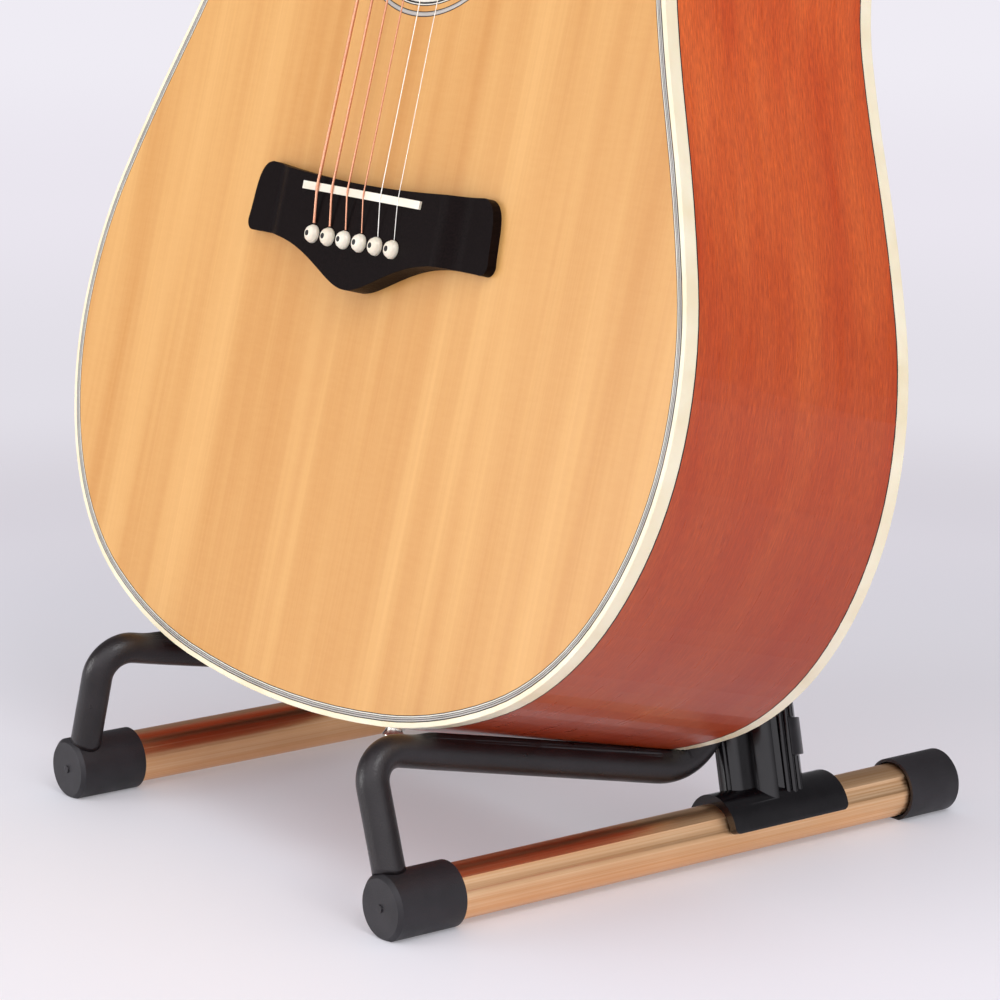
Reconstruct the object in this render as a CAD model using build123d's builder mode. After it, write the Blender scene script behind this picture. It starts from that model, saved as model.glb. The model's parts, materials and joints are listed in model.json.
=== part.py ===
from build123d import *

import os
from math import atan2, cos, degrees, radians, sin, sqrt, tan

# Acoustic guitar on a folding A-frame stand. Millimetres and degrees.
# The origin is on the floor, midway between the two floor bars, under the middle of the
# whole. +X is the viewer's right, +Y runs from the guitar's face to its back, +Z is up.

# Stand: each side frame is a floor bar, a padded arm and a leaning upright
front_face_y = -169.0
bar_spacing = 226.2
bar_radius = 11.0
bar_wall = 2.0
bar_flute_angle = 28.0
bar_flute_radius = 9.0
bar_flute_depth = 1.1
stand_length = 288.5
side_tilt = 18.5

cap_wall = 2.0
cap_foot_flat = 1.0
cap_end_wall = 4.0
cap_edge_bevel = 1.6
front_cap_length = 31.0
rear_cap_length = 28.0
rear_cap_mouth_gap = 0.7
rear_cap_mouth_depth = 4.0
cap_nub_radius = 1.6
cap_nub_height = 0.6

arm_foot_y = 7.0
arm_corner_height = 59.3
arm_bend_radius = 12.0
arm_slope = 12.5
arm_elbow_y = 155.5
arm_elbow_radius = 30.0
arm_elbow_rise = 40.0
arm_end_depth = 4.0
arm_rod_radius = 4.0
sleeve_wall = 2.5
sleeve_start_drop = 2.0

bracket_start_y = 163.0
bracket_length = 60.3
bracket_wall = 3.8
bracket_drop = 2.6
bracket_corner = 2.5
socket_wall = 2.8
socket_height = 78.0
socket_rib_radius = 1.3
socket_rib_pitch = 16.0
yoke_front = 16.7
yoke_length = 7.1
yoke_width = 25.2
yoke_corner = 6.9
yoke_height = 70.0
boss_radius = 6.0
boss_centre_gap = 22.0
boss_height = 64.0
boss_flute_radius = 1.2
boss_flute_angle = 29.0
clip_wall = 1.7
clip_height = 15.0
clip_base = 23.6
clip_gap = 0.6

upright_radius = 8.0
upright_wall = 1.5
upright_foot_y = 199.1
upright_lean = 4.9

pivot_offset = 14.0
hinge_cup_wall = 2.0
hinge_cup_length = 24.0
hinge_cup_drop = 27.0
hinge_ear_radius = 8.0
hinge_width = 18.0
hinge_tongue_width = 8.0
hinge_slot_radius = 24.0
hinge_pin_radius = 3.0
hinge_pin_head_radius = 5.0
hinge_pin_head_height = 2.0
hinge_side_gap = 0.3
hinge_pin_bevel = 0.8
hinge_root = 2.0

pad_wall = 4.5
pad_nose_radius = 10.0
pad_nose_reach = 16.0
pad_height = 62.0
pad_top_gap = 2.0

# Guitar body
guitar_lean = 14.14
tail_y = 31.1
body_length = 495.6
tail_depth = 122.5
heel_depth = 96.1
lower_bout_width = 400.0
lower_bout_v = 137.0
waist_width = 279.0
waist_drop = 162.6
upper_bout_width = 292.0
upper_bout_drop = 70.6
neck_seat_width = 58.0

top_thickness = 2.8
back_thickness = 2.6
side_thickness = 2.2
binding_height = 6.0
soundhole_radius = 50.0
soundhole_drop = 158.6
lining_width = 6.0
lining_height = 14.0
brace_width = 8.0
brace_height = 14.0
brace_cross_gap = 75.0
brace_cross_angle = 49.0
neck_block_width = 84.0
neck_block_length = 50.0
tail_block_width = 76.0
tail_block_length = 18.0

# Soundboard bars: their two ends as places across and shares of the way from the tail to the
# crossing of the braces, height and width; back bars: gap from one end of the body, height, width
tone_bars = [
    (-150, 0.656, 60, 0.351, 11, 7),
    (-150, 0.450, 40, 0.160, 11, 7),
]
shoulder_bar = (160, 75, 15, 12)
tail_back_bars = [(70, 14, 16), (180, 14, 16)]
neck_back_bars = [(90.6, 16, 8), (195.6, 16, 8)]

# Strings, bridge and fretboard
scale_length = 650.0
saddle_setback = 2.5
body_fret = 14
fret_count = 20
string_spacing_bridge = 54.0
string_spacing_nut = 36.0
wound_radii = {6: 0.68, 5: 0.53, 4: 0.41, 3: 0.31}
plain_radii = {2: 0.21, 1: 0.16}

bridge_length = 162.6
bridge_top_v = 4.1
bridge_corner_rise = 3.2
bridge_corner_inset = 10.0
bridge_wing_v = 21.8
bridge_belly_v = 38.1
bridge_height = 9.0
bridge_wing_height = 4.2
saddle_length = 79.0
saddle_width = 3.2
saddle_slot_depth = 5.0
saddle_crown_height = 12.0
pin_row_setback = 18.8
pin_hole_radius = 2.6
pin_head_radius = 3.7
pin_rim_height = 1.0
pin_head_height = 3.4
pin_shaft_length = 21.0
bridge_plate_width = 150.0
bridge_plate_length = 38.0
bridge_plate_thickness = 2.5

end_pin_drop = 61.0
end_pin_radius = 3.5
end_pin_head_radius = 6.5
end_pin_length = 13.0

nut_width = 43.0
nut_thickness = 5.0
nut_height = 8.4
fretboard_thickness = 6.0
fretboard_end_width = 57.0
fretboard_tail = 8.0
fretboard_radius = 400.0
fret_width = 2.2
fret_height = 1.1

# Neck and headstock
neck_depth_nut = 15.5
neck_depth_heel = 18.5
heel_length = 84.0
heel_cap_thickness = 2.5
heel_stations = [(0, 116), (8, 99), (18, 76), (30, 54), (45, 36), (62, 24), (84, 18.5)]
truss_channel_width = 6.4
truss_channel_depth = 9.5
truss_rod_start = 22.0
head_angle = 14.0
head_length = 180.0
head_base_width = 59.0
head_tip_width = 74.0
head_flare_length = 24.0
head_tip_crown = 6.0
head_corner_radius = 5.0
head_thickness = 13.0
volute_length = 20.0
volute_flare = 2.0
veneer_thickness = 2.0
truss_cover_width = 26.0
truss_cover_length = 34.0
truss_cover_thickness = 1.6

# Tuning machines, three on each side
tuner_rows = [52.0, 93.0, 134.0]
tuner_side_offset = 22.0
tuner_side_step = 1.0
post_radius = 3.0
post_waist_depth = 0.4
post_waist_length = 4.0
post_rise = 9.5
post_wind_rise = 5.5
post_hole_radius = 0.9
bushing_radius = 4.5
bushing_flange_radius = 6.0
bushing_flange_height = 2.4
housing_width = 17.0
housing_length = 24.0
housing_height = 13.0
housing_wall = 2.0
worm_offset = 7.5
worm_depth = 6.5
knob_shaft_radius = 2.0
knob_gap = 4.0
knob_length = 13.0
knob_height = 18.0
knob_thickness = 8.5
knob_bevel = 1.8

# Fits between pieces
rest_gap = 0.3
running_gap = 0.05
string_gap = 0.3

# Worked out from the sizes above
bar_x = bar_spacing / 2
cap_radius = bar_radius + cap_wall
bar_axis_height = cap_radius - cap_foot_flat
sleeve_radius = arm_rod_radius + sleeve_wall
post_waist_radius = post_radius - post_waist_depth
socket_radius = upright_radius + socket_wall
hinge_cup_radius = upright_radius + hinge_cup_wall
pad_radius = upright_radius + pad_wall
side_sin = sin(radians(side_tilt))
side_cos = cos(radians(side_tilt))
lean_sin = sin(radians(guitar_lean))
lean_cos = cos(radians(guitar_lean))
slope_tan = tan(radians(arm_slope))
upright_tan = tan(radians(upright_lean))
pivot_h = (bar_x - pivot_offset) / side_sin
pivot_z = bar_axis_height + pivot_h * side_cos
pivot_y = front_face_y + upright_foot_y + pivot_h * upright_tan
half_tail = lower_bout_width / 2
half_waist = waist_width / 2
half_upper = upper_bout_width / 2
waist_v = body_length - waist_drop
upper_bout_v = body_length - upper_bout_drop
soundhole_v = body_length - soundhole_drop
brace_cross_v = soundhole_v - brace_cross_gap
hip_width = half_tail - half_waist
hip_length = waist_v - lower_bout_v

# Right half of the body's outline, tail to neck: across, up and heading at each knot
outline_knots = [
    (0, 0, 0),
    (0.667 * half_tail, 0.182 * lower_bout_v, 26),
    (half_tail, lower_bout_v, 90),
    (half_waist + 0.43 * hip_width, lower_bout_v + 0.58 * hip_length, 116),
    (half_waist, waist_v, 90),
    (half_upper, upper_bout_v, 90),
    (neck_seat_width / 2, body_length, 180),
]

# The right side frame's own plane: X along the floor bar, Y up the frame, Z outwards
side = Plane(
    origin=(bar_x, front_face_y, bar_axis_height),
    x_dir=(0, 1, 0),
    z_dir=(side_cos, 0, side_sin),
)
upright_up = side.x_dir * sin(radians(upright_lean)) + side.y_dir * cos(radians(upright_lean))
upright_back = side.x_dir * cos(radians(upright_lean)) - side.y_dir * sin(radians(upright_lean))


def bar_section(y):
    # Plane across the floor bar, turned to the side frame's tilt; positive Z is forwards
    start = side.from_local_coords(Vector(y, 0, 0))
    return Plane(origin=start, x_dir=side.z_dir, z_dir=(0, -1, 0))


def upright_section(height):
    # Plane across the upright: X is backwards, Z is up the tube
    foot = side.from_local_coords(Vector(upright_foot_y, 0, 0))
    return Plane(origin=foot + upright_up * height, x_dir=upright_back, z_dir=upright_up)


def double_arc(start, end):
    # Two tangent arcs between two places (x, y, heading) that keep both headings
    first = Vector(start[0], start[1])
    last = Vector(end[0], end[1])
    leave = Vector(cos(radians(start[2])), sin(radians(start[2])))
    arrive = Vector(cos(radians(end[2])), sin(radians(end[2])))
    span = last - first
    along = span.dot(leave + arrive)
    reach = span.dot(span) / (along + sqrt(along**2 + 2 * (1 - leave.dot(arrive)) * span.dot(span)))
    joint = (first + last + (leave - arrive) * reach) * 0.5
    TangentArc(first, joint, tangent=leave)
    TangentArc(joint, last, tangent=arrive * -1, tangent_from_first=False)


def tail_at(half_width):
    # Height and slope of the tail's curve at a half width
    with BuildLine() as tail:
        double_arc(outline_knots[0], outline_knots[1])
        double_arc(outline_knots[1], outline_knots[2])
    curve = Wire(tail.edges())
    low = 0.0
    high = 1.0
    for _ in range(40):
        middle = (low + high) / 2
        if curve.position_at(middle).X < half_width:
            low = middle
        else:
            high = middle
    tangent = curve.tangent_at(low)
    return curve.position_at(low).Y, atan2(tangent.Y, tangent.X)


# The body's tail rests on the two arms: its height follows from the arms and the tail's curve
rest_reach = sleeve_radius + rest_gap
rest_y = tail_y + tail_depth * lean_cos
rest_h = arm_corner_height - (rest_y - arm_foot_y) * slope_tan
rest_v, rest_angle = tail_at(bar_x - rest_h * side_sin)
rest_rise = rest_reach * cos(rest_angle) / lean_cos
tail_z = bar_axis_height + rest_h * side_cos + rest_rise - rest_v * lean_cos + tail_depth * lean_sin

# The guitar's own plane on its top: X across, Y from tail to headstock, Z out of the top
guitar = Plane(
    origin=(0, front_face_y + tail_y, tail_z),
    x_dir=(1, 0, 0),
    z_dir=(0, -lean_cos, lean_sin),
)
back_fall = atan2(tail_depth - heel_depth, body_length)
back = Plane(
    origin=guitar.from_local_coords(Vector(0, 0, -tail_depth)),
    x_dir=(-1, 0, 0),
    z_dir=guitar.y_dir * sin(back_fall) - guitar.z_dir * cos(back_fall),
)

saddle_v = body_length - scale_length * 2 ** (-body_fret / 12) - saddle_setback
nut_v = saddle_v + saddle_setback + scale_length
pin_v = saddle_v - pin_row_setback
fretboard_end_v = nut_v - scale_length * (1 - 2 ** (-fret_count / 12)) - fretboard_tail
string_count = len(wound_radii) + len(plain_radii)

# The headstock's plane on its wooden face: X across, Y to the tip, Z out of the face
head_start = guitar.from_local_coords(Vector(0, nut_v + nut_thickness, 0))
head_normal = guitar.y_dir * sin(radians(head_angle)) + guitar.z_dir * cos(radians(head_angle))
head = Plane(origin=head_start, x_dir=(1, 0, 0), z_dir=head_normal)


def spot(u, v, w=0.0):
    # Place on the guitar: across, up from the tail, out of the top
    return guitar.from_local_coords(Vector(u, v, w))


def station(v, w=0.0):
    # Plane square to the strings: X across, Y out of the top, Z towards the tail
    return Plane(origin=spot(0, v, w), x_dir=(1, 0, 0), z_dir=guitar.y_dir * -1)


def body_shape(inset=0.0, mode=Mode.ADD):
    # The body's outline, drawn in by an inset
    with BuildLine() as outline:
        for start, end in zip(outline_knots, outline_knots[1:]):
            double_arc(start, end)
        Line((neck_seat_width / 2, body_length), (0, body_length))
        mirror(about=Plane.YZ)
    edge = Wire(outline.edges())
    if inset != 0:
        edge = edge.offset_2d(-inset)
    add(Face(edge), mode=mode)


def body_ring(inset, width):
    # A band that follows the body's outline
    body_shape(inset)
    body_shape(inset + width, Mode.SUBTRACT)


def head_shape():
    # The headstock's outline on its face
    base = nut_width / 2
    flare = head_base_width / 2
    tip = head_tip_width / 2
    corner_y = head_length - head_tip_crown - head_corner_radius
    with BuildLine() as outline:
        Line((0, 0), (base, 0))
        Spline((base, 0), (flare, head_flare_length), tangents=[(0.6, 1), (0.04, 1)])
        Line((flare, head_flare_length), (tip, corner_y))
        TangentArc(
            (tip, corner_y), (tip - head_corner_radius, corner_y + head_corner_radius), tangent=(0, 1)
        )
        Spline(
            (tip - head_corner_radius, corner_y + head_corner_radius),
            (0, head_length),
            tangents=[(-1, 0), (-1, 0)],
        )
        mirror(about=Plane.YZ)
    make_face(outline.edges())


def crown(u):
    # Drop of the fretboard's crowned face below its centre line
    return fretboard_radius - sqrt(fretboard_radius**2 - u**2)


def dome(rim, pole):
    # Arc from a rim to a pole on the axis, round about a centre on the same axis
    rise = pole[1] - rim[1]
    radius = (rim[0] ** 2 + rise**2) / (2 * rise)
    RadiusArc(rim, pole, -radius)


def string_u(number, v):
    # Place across of a string; number 6 is the lowest and lies furthest left
    share = (v - saddle_v) / (nut_v - saddle_v)
    spread = string_spacing_bridge + (string_spacing_nut - string_spacing_bridge) * share
    return spread * (0.5 - (number - 1) / (string_count - 1))


def fretboard_half(v):
    # Half width of the fretboard and neck at a station
    share = (v - fretboard_end_v) / (nut_v - fretboard_end_v)
    return (fretboard_end_width + (nut_width - fretboard_end_width) * share) / 2


def finish(node, piece):
    # Name one finished piece and write its file
    piece.part.label = node
    export_step(piece.part, f"parts/{node}.step")


def arm_points(start_h, end_y):
    # Corners of the arm in the side plane: foot, bend, elbow and its end in the bracket
    elbow_h = arm_corner_height - (arm_elbow_y - arm_foot_y) * slope_tan
    return [
        (arm_foot_y, start_h),
        (arm_foot_y, arm_corner_height),
        (arm_elbow_y, elbow_h),
        (end_y, elbow_h + (end_y - arm_elbow_y) * tan(radians(arm_elbow_rise))),
    ]


def arm_sweep(radius, start_h, end_y):
    # A round bar along the arm's path
    with BuildLine(side) as path:
        FilletPolyline(*arm_points(start_h, end_y), radius=[arm_bend_radius, arm_elbow_radius])
    with BuildSketch(Plane(origin=path.line @ 0, z_dir=path.line % 0)) as section:
        Circle(radius)
    return sweep(section.sketch, path=path.line)


os.makedirs("parts", exist_ok=True)

# Stand: the right side frame
boss_y = upright_foot_y - boss_centre_gap

with BuildPart() as arm_rod:
    arm_sweep(arm_rod_radius, 0, boss_y + arm_end_depth)

with BuildPart() as floor_bar:
    with BuildSketch(bar_section(cap_end_wall)):
        Circle(bar_radius)
        with PolarLocations(bar_radius - bar_flute_depth + bar_flute_radius, 1, bar_flute_angle - side_tilt):
            Circle(bar_flute_radius, mode=Mode.SUBTRACT)
        Circle(bar_radius - bar_wall, mode=Mode.SUBTRACT)
    extrude(amount=2 * cap_end_wall - stand_length)
    add(arm_rod.part, mode=Mode.SUBTRACT)

with BuildPart() as front_cap:
    with BuildSketch(bar_section(0)):
        Circle(cap_radius)
    extrude(amount=-front_cap_length)
    chamfer(front_cap.edges().filter_by(GeomType.CIRCLE).sort_by(Axis.Y)[0], cap_edge_bevel)
    with BuildSketch(bar_section(0)):
        Circle(cap_nub_radius)
    extrude(amount=cap_nub_height)
    with BuildSketch(bar_section(cap_end_wall)):
        Circle(bar_radius)
    extrude(amount=-front_cap_length, mode=Mode.SUBTRACT)
    add(arm_rod.part, mode=Mode.SUBTRACT)
    split(bisect_by=Plane.XY, keep=Keep.TOP)

with BuildPart() as rear_cap:
    with BuildSketch(bar_section(stand_length)):
        Circle(cap_radius)
    extrude(amount=rear_cap_length)
    chamfer(rear_cap.edges().filter_by(GeomType.CIRCLE).sort_by(Axis.Y)[-1], cap_edge_bevel)
    with BuildSketch(bar_section(stand_length - cap_end_wall)):
        Circle(bar_radius)
    extrude(amount=rear_cap_length, mode=Mode.SUBTRACT)
    with BuildSketch(bar_section(stand_length - rear_cap_length)):
        Circle(bar_radius + rear_cap_mouth_gap)
    extrude(amount=-rear_cap_mouth_depth, mode=Mode.SUBTRACT)
    split(bisect_by=Plane.XY, keep=Keep.TOP)

with BuildPart() as upright:
    with BuildSketch(upright_section(bar_radius)):
        Circle(upright_radius)
        Circle(upright_radius - upright_wall, mode=Mode.SUBTRACT)
    extrude(amount=pivot_h - hinge_cup_drop - bar_radius)

with BuildPart() as bracket:
    # Shell that snaps over the floor bar, with rounded lower corners
    with BuildSketch(bar_section(bracket_start_y)):
        Circle(bar_radius + bracket_wall)
    extrude(amount=-bracket_length)
    with BuildSketch(side) as shell_side:
        with Locations((bracket_start_y + bracket_length / 2, cap_radius - bracket_drop)):
            RectangleRounded(bracket_length, 2 * cap_radius, bracket_corner)
    extrude(shell_side.sketch, amount=2 * cap_radius, both=True, mode=Mode.INTERSECT)
    # Socket for the upright, with upright ribs on its two flanks
    with BuildSketch(upright_section(0)) as socket_shape:
        Circle(socket_radius)
        for flank in (-90, 90):
            with PolarLocations(
                socket_radius, 3, flank - socket_rib_pitch, 2 * socket_rib_pitch, endpoint=True
            ):
                Circle(socket_rib_radius)
    extrude(socket_shape.sketch, amount=socket_height)
    # Yoke: a broad block with rounded front corners that wraps the socket's front
    with BuildSketch(upright_section(0)) as yoke_shape:
        with Locations((yoke_length - yoke_front, 0)):
            RectangleRounded(2 * yoke_length, yoke_width, yoke_corner)
            Rectangle(2 * yoke_length, 2 * yoke_width, align=(Align.MIN, Align.CENTER), mode=Mode.SUBTRACT)
    extrude(yoke_shape.sketch, amount=yoke_height)
    # Boss that holds the arm's end, with two flutes down its front
    with BuildSketch(upright_section(0)) as boss_shape:
        with Locations((-boss_centre_gap, 0)):
            Circle(boss_radius)
            Rectangle(boss_radius, 2 * boss_radius, align=(Align.MIN, Align.CENTER))
            with PolarLocations(boss_radius, 2, 180 - boss_flute_angle, 2 * boss_flute_angle, endpoint=True):
                Circle(boss_flute_radius, mode=Mode.SUBTRACT)
    extrude(boss_shape.sketch, amount=boss_height)
    # Seats for the bar, the upright, the clip and the arm's end
    with BuildSketch(bar_section(bracket_start_y)) as bar_seat:
        Circle(bar_radius)
    extrude(bar_seat.sketch, amount=-bracket_length, mode=Mode.SUBTRACT)
    with BuildSketch(upright_section(0)) as upright_seat:
        Circle(upright_radius)
    extrude(upright_seat.sketch, amount=2 * socket_height, mode=Mode.SUBTRACT)
    with BuildSketch(upright_section(clip_base - clip_gap)) as clip_seat:
        Circle(socket_radius + 2 * clip_wall)
        Circle(socket_radius, mode=Mode.SUBTRACT)
        Rectangle(
            2 * socket_radius,
            4 * socket_radius,
            align=(Align.MAX, Align.CENTER),
            mode=Mode.SUBTRACT,
        )
    extrude(clip_seat.sketch, amount=clip_height + 2 * clip_gap, mode=Mode.SUBTRACT)
    add(arm_rod.part, mode=Mode.SUBTRACT)

with BuildPart() as bracket_clip:
    with BuildSketch(upright_section(clip_base)) as clip_shape:
        Circle(socket_radius + clip_wall)
        Circle(socket_radius, mode=Mode.SUBTRACT)
        Rectangle(
            2 * socket_radius,
            4 * socket_radius,
            align=(Align.MAX, Align.CENTER),
            mode=Mode.SUBTRACT,
        )
    extrude(clip_shape.sketch, amount=clip_height)

# The room that the guitar takes on its rests: the foam is pressed in where its tail sits
with BuildPart() as guitar_seat:
    with BuildSketch(guitar.offset(rest_gap)):
        body_shape(-rest_gap)
    extrude(amount=-2 * tail_depth)
    split(bisect_by=back.offset(rest_gap), keep=Keep.BOTTOM)

with BuildPart() as arm_sleeve:
    arm_sweep(sleeve_radius, bar_radius - sleeve_start_drop, boss_y - boss_radius / 2)
    with BuildSketch(bar_section(-cap_radius)):
        Circle(cap_radius)
    extrude(amount=-2 * front_cap_length, mode=Mode.SUBTRACT)
    add(arm_rod.part, mode=Mode.SUBTRACT)
    add(bracket.part, mode=Mode.SUBTRACT)
    add(guitar_seat.part, mode=Mode.SUBTRACT)

with BuildPart() as back_pad:
    with BuildSketch(upright_section(pivot_h - hinge_cup_drop - hinge_cup_length - pad_top_gap)):
        Circle(pad_radius)
        with Locations((-pad_nose_reach, 0)):
            Circle(pad_nose_radius)
        make_hull()
        Circle(upright_radius, mode=Mode.SUBTRACT)
    extrude(amount=-pad_height)
    split(bisect_by=back.offset(rest_gap), keep=Keep.TOP)

right_side = {
    "floor_bar": floor_bar,
    "front_cap": front_cap,
    "rear_cap": rear_cap,
    "arm_rod": arm_rod,
    "arm_sleeve": arm_sleeve,
    "bracket": bracket,
    "bracket_clip": bracket_clip,
    "upright": upright,
    "back_pad": back_pad,
}
for node, piece in right_side.items():
    finish(f"{node}_right", piece)
    with BuildPart() as mirrored:
        mirror(piece.part, about=Plane.YZ)
    finish(f"{node}_left", mirrored)

# Hinge at the top of the two side frames: a fork on the right, a tongue on the left
hinge = Plane(origin=(0, pivot_y, pivot_z), x_dir=(1, 0, 0), z_dir=(0, -1, 0))
cup_base_h = pivot_h - hinge_cup_drop - hinge_cup_length


def hinge_arm():
    # Cup on the upright's end and the flat arm that reaches from it to the pivot
    with BuildSketch(upright_section(cup_base_h)) as cup_ring:
        Circle(hinge_cup_radius)
    extrude(cup_ring.sketch, amount=hinge_cup_length + hinge_root)
    cup_top = upright_section(pivot_h - hinge_cup_drop).origin
    with BuildSketch(hinge) as arm_plate:
        Circle(hinge_ear_radius)
        with Locations((cup_top.X, cup_top.Z - pivot_z)):
            Circle(hinge_cup_radius - hinge_root / 2)
        make_hull()
    extrude(arm_plate.sketch, amount=hinge_width / 2, both=True)
    with BuildSketch(upright_section(cup_base_h)) as tube_seat:
        Circle(upright_radius)
    extrude(tube_seat.sketch, amount=hinge_cup_length, mode=Mode.SUBTRACT)


with BuildPart() as hinge_fork:
    hinge_arm()
    with BuildSketch(hinge):
        Circle(hinge_slot_radius)
    extrude(amount=hinge_tongue_width / 2 + hinge_side_gap, both=True, mode=Mode.SUBTRACT)
    with BuildSketch(hinge):
        Circle(hinge_pin_radius)
    extrude(amount=hinge_width, both=True, mode=Mode.SUBTRACT)
finish("hinge_fork", hinge_fork)

with BuildPart() as hinge_tongue:
    hinge_arm()
    for end in (-1, 1):
        with BuildSketch(hinge.offset(end * hinge_tongue_width / 2)):
            Circle(hinge_slot_radius)
        extrude(amount=end * hinge_width, mode=Mode.SUBTRACT)
    with BuildSketch(hinge):
        Circle(hinge_pin_radius + running_gap)
    extrude(amount=hinge_width, both=True, mode=Mode.SUBTRACT)
    mirror(about=Plane.YZ, mode=Mode.REPLACE)
finish("hinge_tongue", hinge_tongue)

with BuildPart() as hinge_pin:
    with BuildSketch(hinge):
        Circle(hinge_pin_radius)
    extrude(amount=hinge_width / 2, both=True)
    for end in (-1, 1):
        with BuildSketch(hinge.offset(end * hinge_width / 2)):
            Circle(hinge_pin_head_radius)
        extrude(amount=end * hinge_pin_head_height)
    chamfer(hinge_pin.edges().filter_by(GeomType.CIRCLE).group_by(Axis.Y)[0], hinge_pin_bevel)
    chamfer(hinge_pin.edges().filter_by(GeomType.CIRCLE).group_by(Axis.Y)[-1], hinge_pin_bevel)
finish("hinge_pin", hinge_pin)


# Guitar: the soundbox
def behind(distance):
    # The back's plane, brought forwards into the body by a distance
    return back.offset(-distance)


def brace(start, end, base, height, width, tip):
    # Bar glued to a plate: its ends slope down over the tip length, its ridge is crowned
    first = Vector(*start)
    last = Vector(*end)
    length = (last - first).length
    along = (last - first).normalized()
    bar_plane = Plane(origin=first, x_dir=along, z_dir=along.cross(base))
    with BuildSketch(bar_plane) as bar_side:
        with BuildLine() as ridge:
            Polyline((tip, height), (0, 0), (length, 0), (length - tip, height))
            ThreePointArc((tip, height), (length / 2, 1.15 * height), (length - tip, height))
        make_face(ridge.edges())
    extrude(bar_side.sketch, amount=width / 2, both=True)


def keep_inside(inset):
    # Trim the piece to the body's outline, drawn in by an inset
    with BuildSketch(guitar) as area:
        body_shape(inset)
    extrude(area.sketch, amount=2 * tail_depth, both=True, mode=Mode.INTERSECT)


lining_inset = side_thickness + lining_width

with BuildPart() as soundboard:
    with BuildSketch(guitar):
        body_shape(side_thickness)
        with Locations((0, soundhole_v)):
            Circle(soundhole_radius, mode=Mode.SUBTRACT)
        with Locations((0, pin_v)):
            with GridLocations(string_spacing_bridge / (string_count - 1), 0, string_count, 1):
                Circle(pin_hole_radius, mode=Mode.SUBTRACT)
    extrude(amount=-top_thickness)
finish("soundboard", soundboard)

with BuildPart() as back_plate:
    with BuildSketch(guitar):
        body_shape(side_thickness)
    extrude(amount=-2 * tail_depth)
    split(bisect_by=behind(0), keep=Keep.BOTTOM)
    split(bisect_by=behind(back_thickness), keep=Keep.TOP)
finish("back_plate", back_plate)

with BuildPart() as top_binding:
    with BuildSketch(guitar):
        body_ring(0, side_thickness)
    extrude(amount=-binding_height)
finish("top_binding", top_binding)

with BuildPart() as back_binding:
    with BuildSketch(guitar):
        body_ring(0, side_thickness)
    extrude(amount=-2 * tail_depth)
    split(bisect_by=behind(0), keep=Keep.BOTTOM)
    split(bisect_by=behind(binding_height), keep=Keep.TOP)
finish("back_binding", back_binding)

end_pin_axis = Plane(origin=spot(0, 0, -end_pin_drop), x_dir=(1, 0, 0), z_dir=guitar.y_dir * -1)

with BuildPart() as side_rim:
    with BuildSketch(guitar.offset(-binding_height)):
        body_ring(0, side_thickness)
    extrude(amount=-2 * tail_depth)
    split(bisect_by=behind(binding_height), keep=Keep.BOTTOM)
    with BuildSketch(end_pin_axis):
        Circle(end_pin_radius)
    extrude(amount=4 * tail_block_length, both=True, mode=Mode.SUBTRACT)
finish("side_rim", side_rim)

with BuildPart() as neck_block:
    with BuildSketch(guitar.offset(-top_thickness)):
        body_shape(side_thickness)
        with Locations((0, body_length - side_thickness)):
            Rectangle(neck_block_width, 2 * neck_block_length, mode=Mode.INTERSECT)
    extrude(amount=-2 * tail_depth)
    split(bisect_by=behind(back_thickness), keep=Keep.BOTTOM)
finish("neck_block", neck_block)

with BuildPart() as tail_block:
    with BuildSketch(guitar.offset(-top_thickness)):
        body_shape(side_thickness)
        with Locations((0, side_thickness)):
            Rectangle(tail_block_width, 2 * tail_block_length, mode=Mode.INTERSECT)
    extrude(amount=-2 * tail_depth)
    split(bisect_by=behind(back_thickness), keep=Keep.BOTTOM)
    with BuildSketch(end_pin_axis):
        Circle(end_pin_radius)
    extrude(amount=4 * tail_block_length, both=True, mode=Mode.SUBTRACT)
finish("tail_block", tail_block)

with BuildPart() as rear_lining:
    with BuildSketch(guitar):
        body_ring(side_thickness, lining_width)
    extrude(amount=-2 * tail_depth)
    split(bisect_by=behind(back_thickness), keep=Keep.BOTTOM)
    split(bisect_by=behind(back_thickness + lining_height), keep=Keep.TOP)

with BuildPart() as kerfed_linings:
    with BuildSketch(guitar.offset(-top_thickness)):
        body_ring(side_thickness, lining_width)
    extrude(amount=-lining_height)
    add(rear_lining.part)
    add(neck_block.part, mode=Mode.SUBTRACT)
    add(tail_block.part, mode=Mode.SUBTRACT)
finish("kerfed_linings", kerfed_linings)


def under_top(u, v):
    # Place on the soundboard's inner face
    return spot(u, v, -top_thickness)


def on_back(u, v):
    # Place on the back plate's inner face, level with a station on the top
    inner = back.offset(-back_thickness)
    return Axis(spot(u, v), guitar.z_dir * -1).intersect(inner)


cross_sin = sin(radians(brace_cross_angle))
cross_cos = cos(radians(brace_cross_angle))

with BuildPart() as bridge_plate:
    with BuildSketch(guitar.offset(-top_thickness)):
        plate_top = saddle_v + bridge_top_v
        leg_gap = brace_width / 2 / cross_cos
        top_half = (brace_cross_v - plate_top) * cross_sin / cross_cos - leg_gap
        with BuildLine():
            Polyline(
                (-top_half, plate_top),
                (top_half, plate_top),
                (bridge_plate_width / 2, plate_top - bridge_plate_length),
                (-bridge_plate_width / 2, plate_top - bridge_plate_length),
                close=True,
            )
        make_face()
        with Locations((0, pin_v)):
            with GridLocations(string_spacing_bridge / (string_count - 1), 0, string_count, 1):
                Circle(pin_hole_radius, mode=Mode.SUBTRACT)
    extrude(amount=-bridge_plate_thickness)
finish("bridge_plate", bridge_plate)

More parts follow.
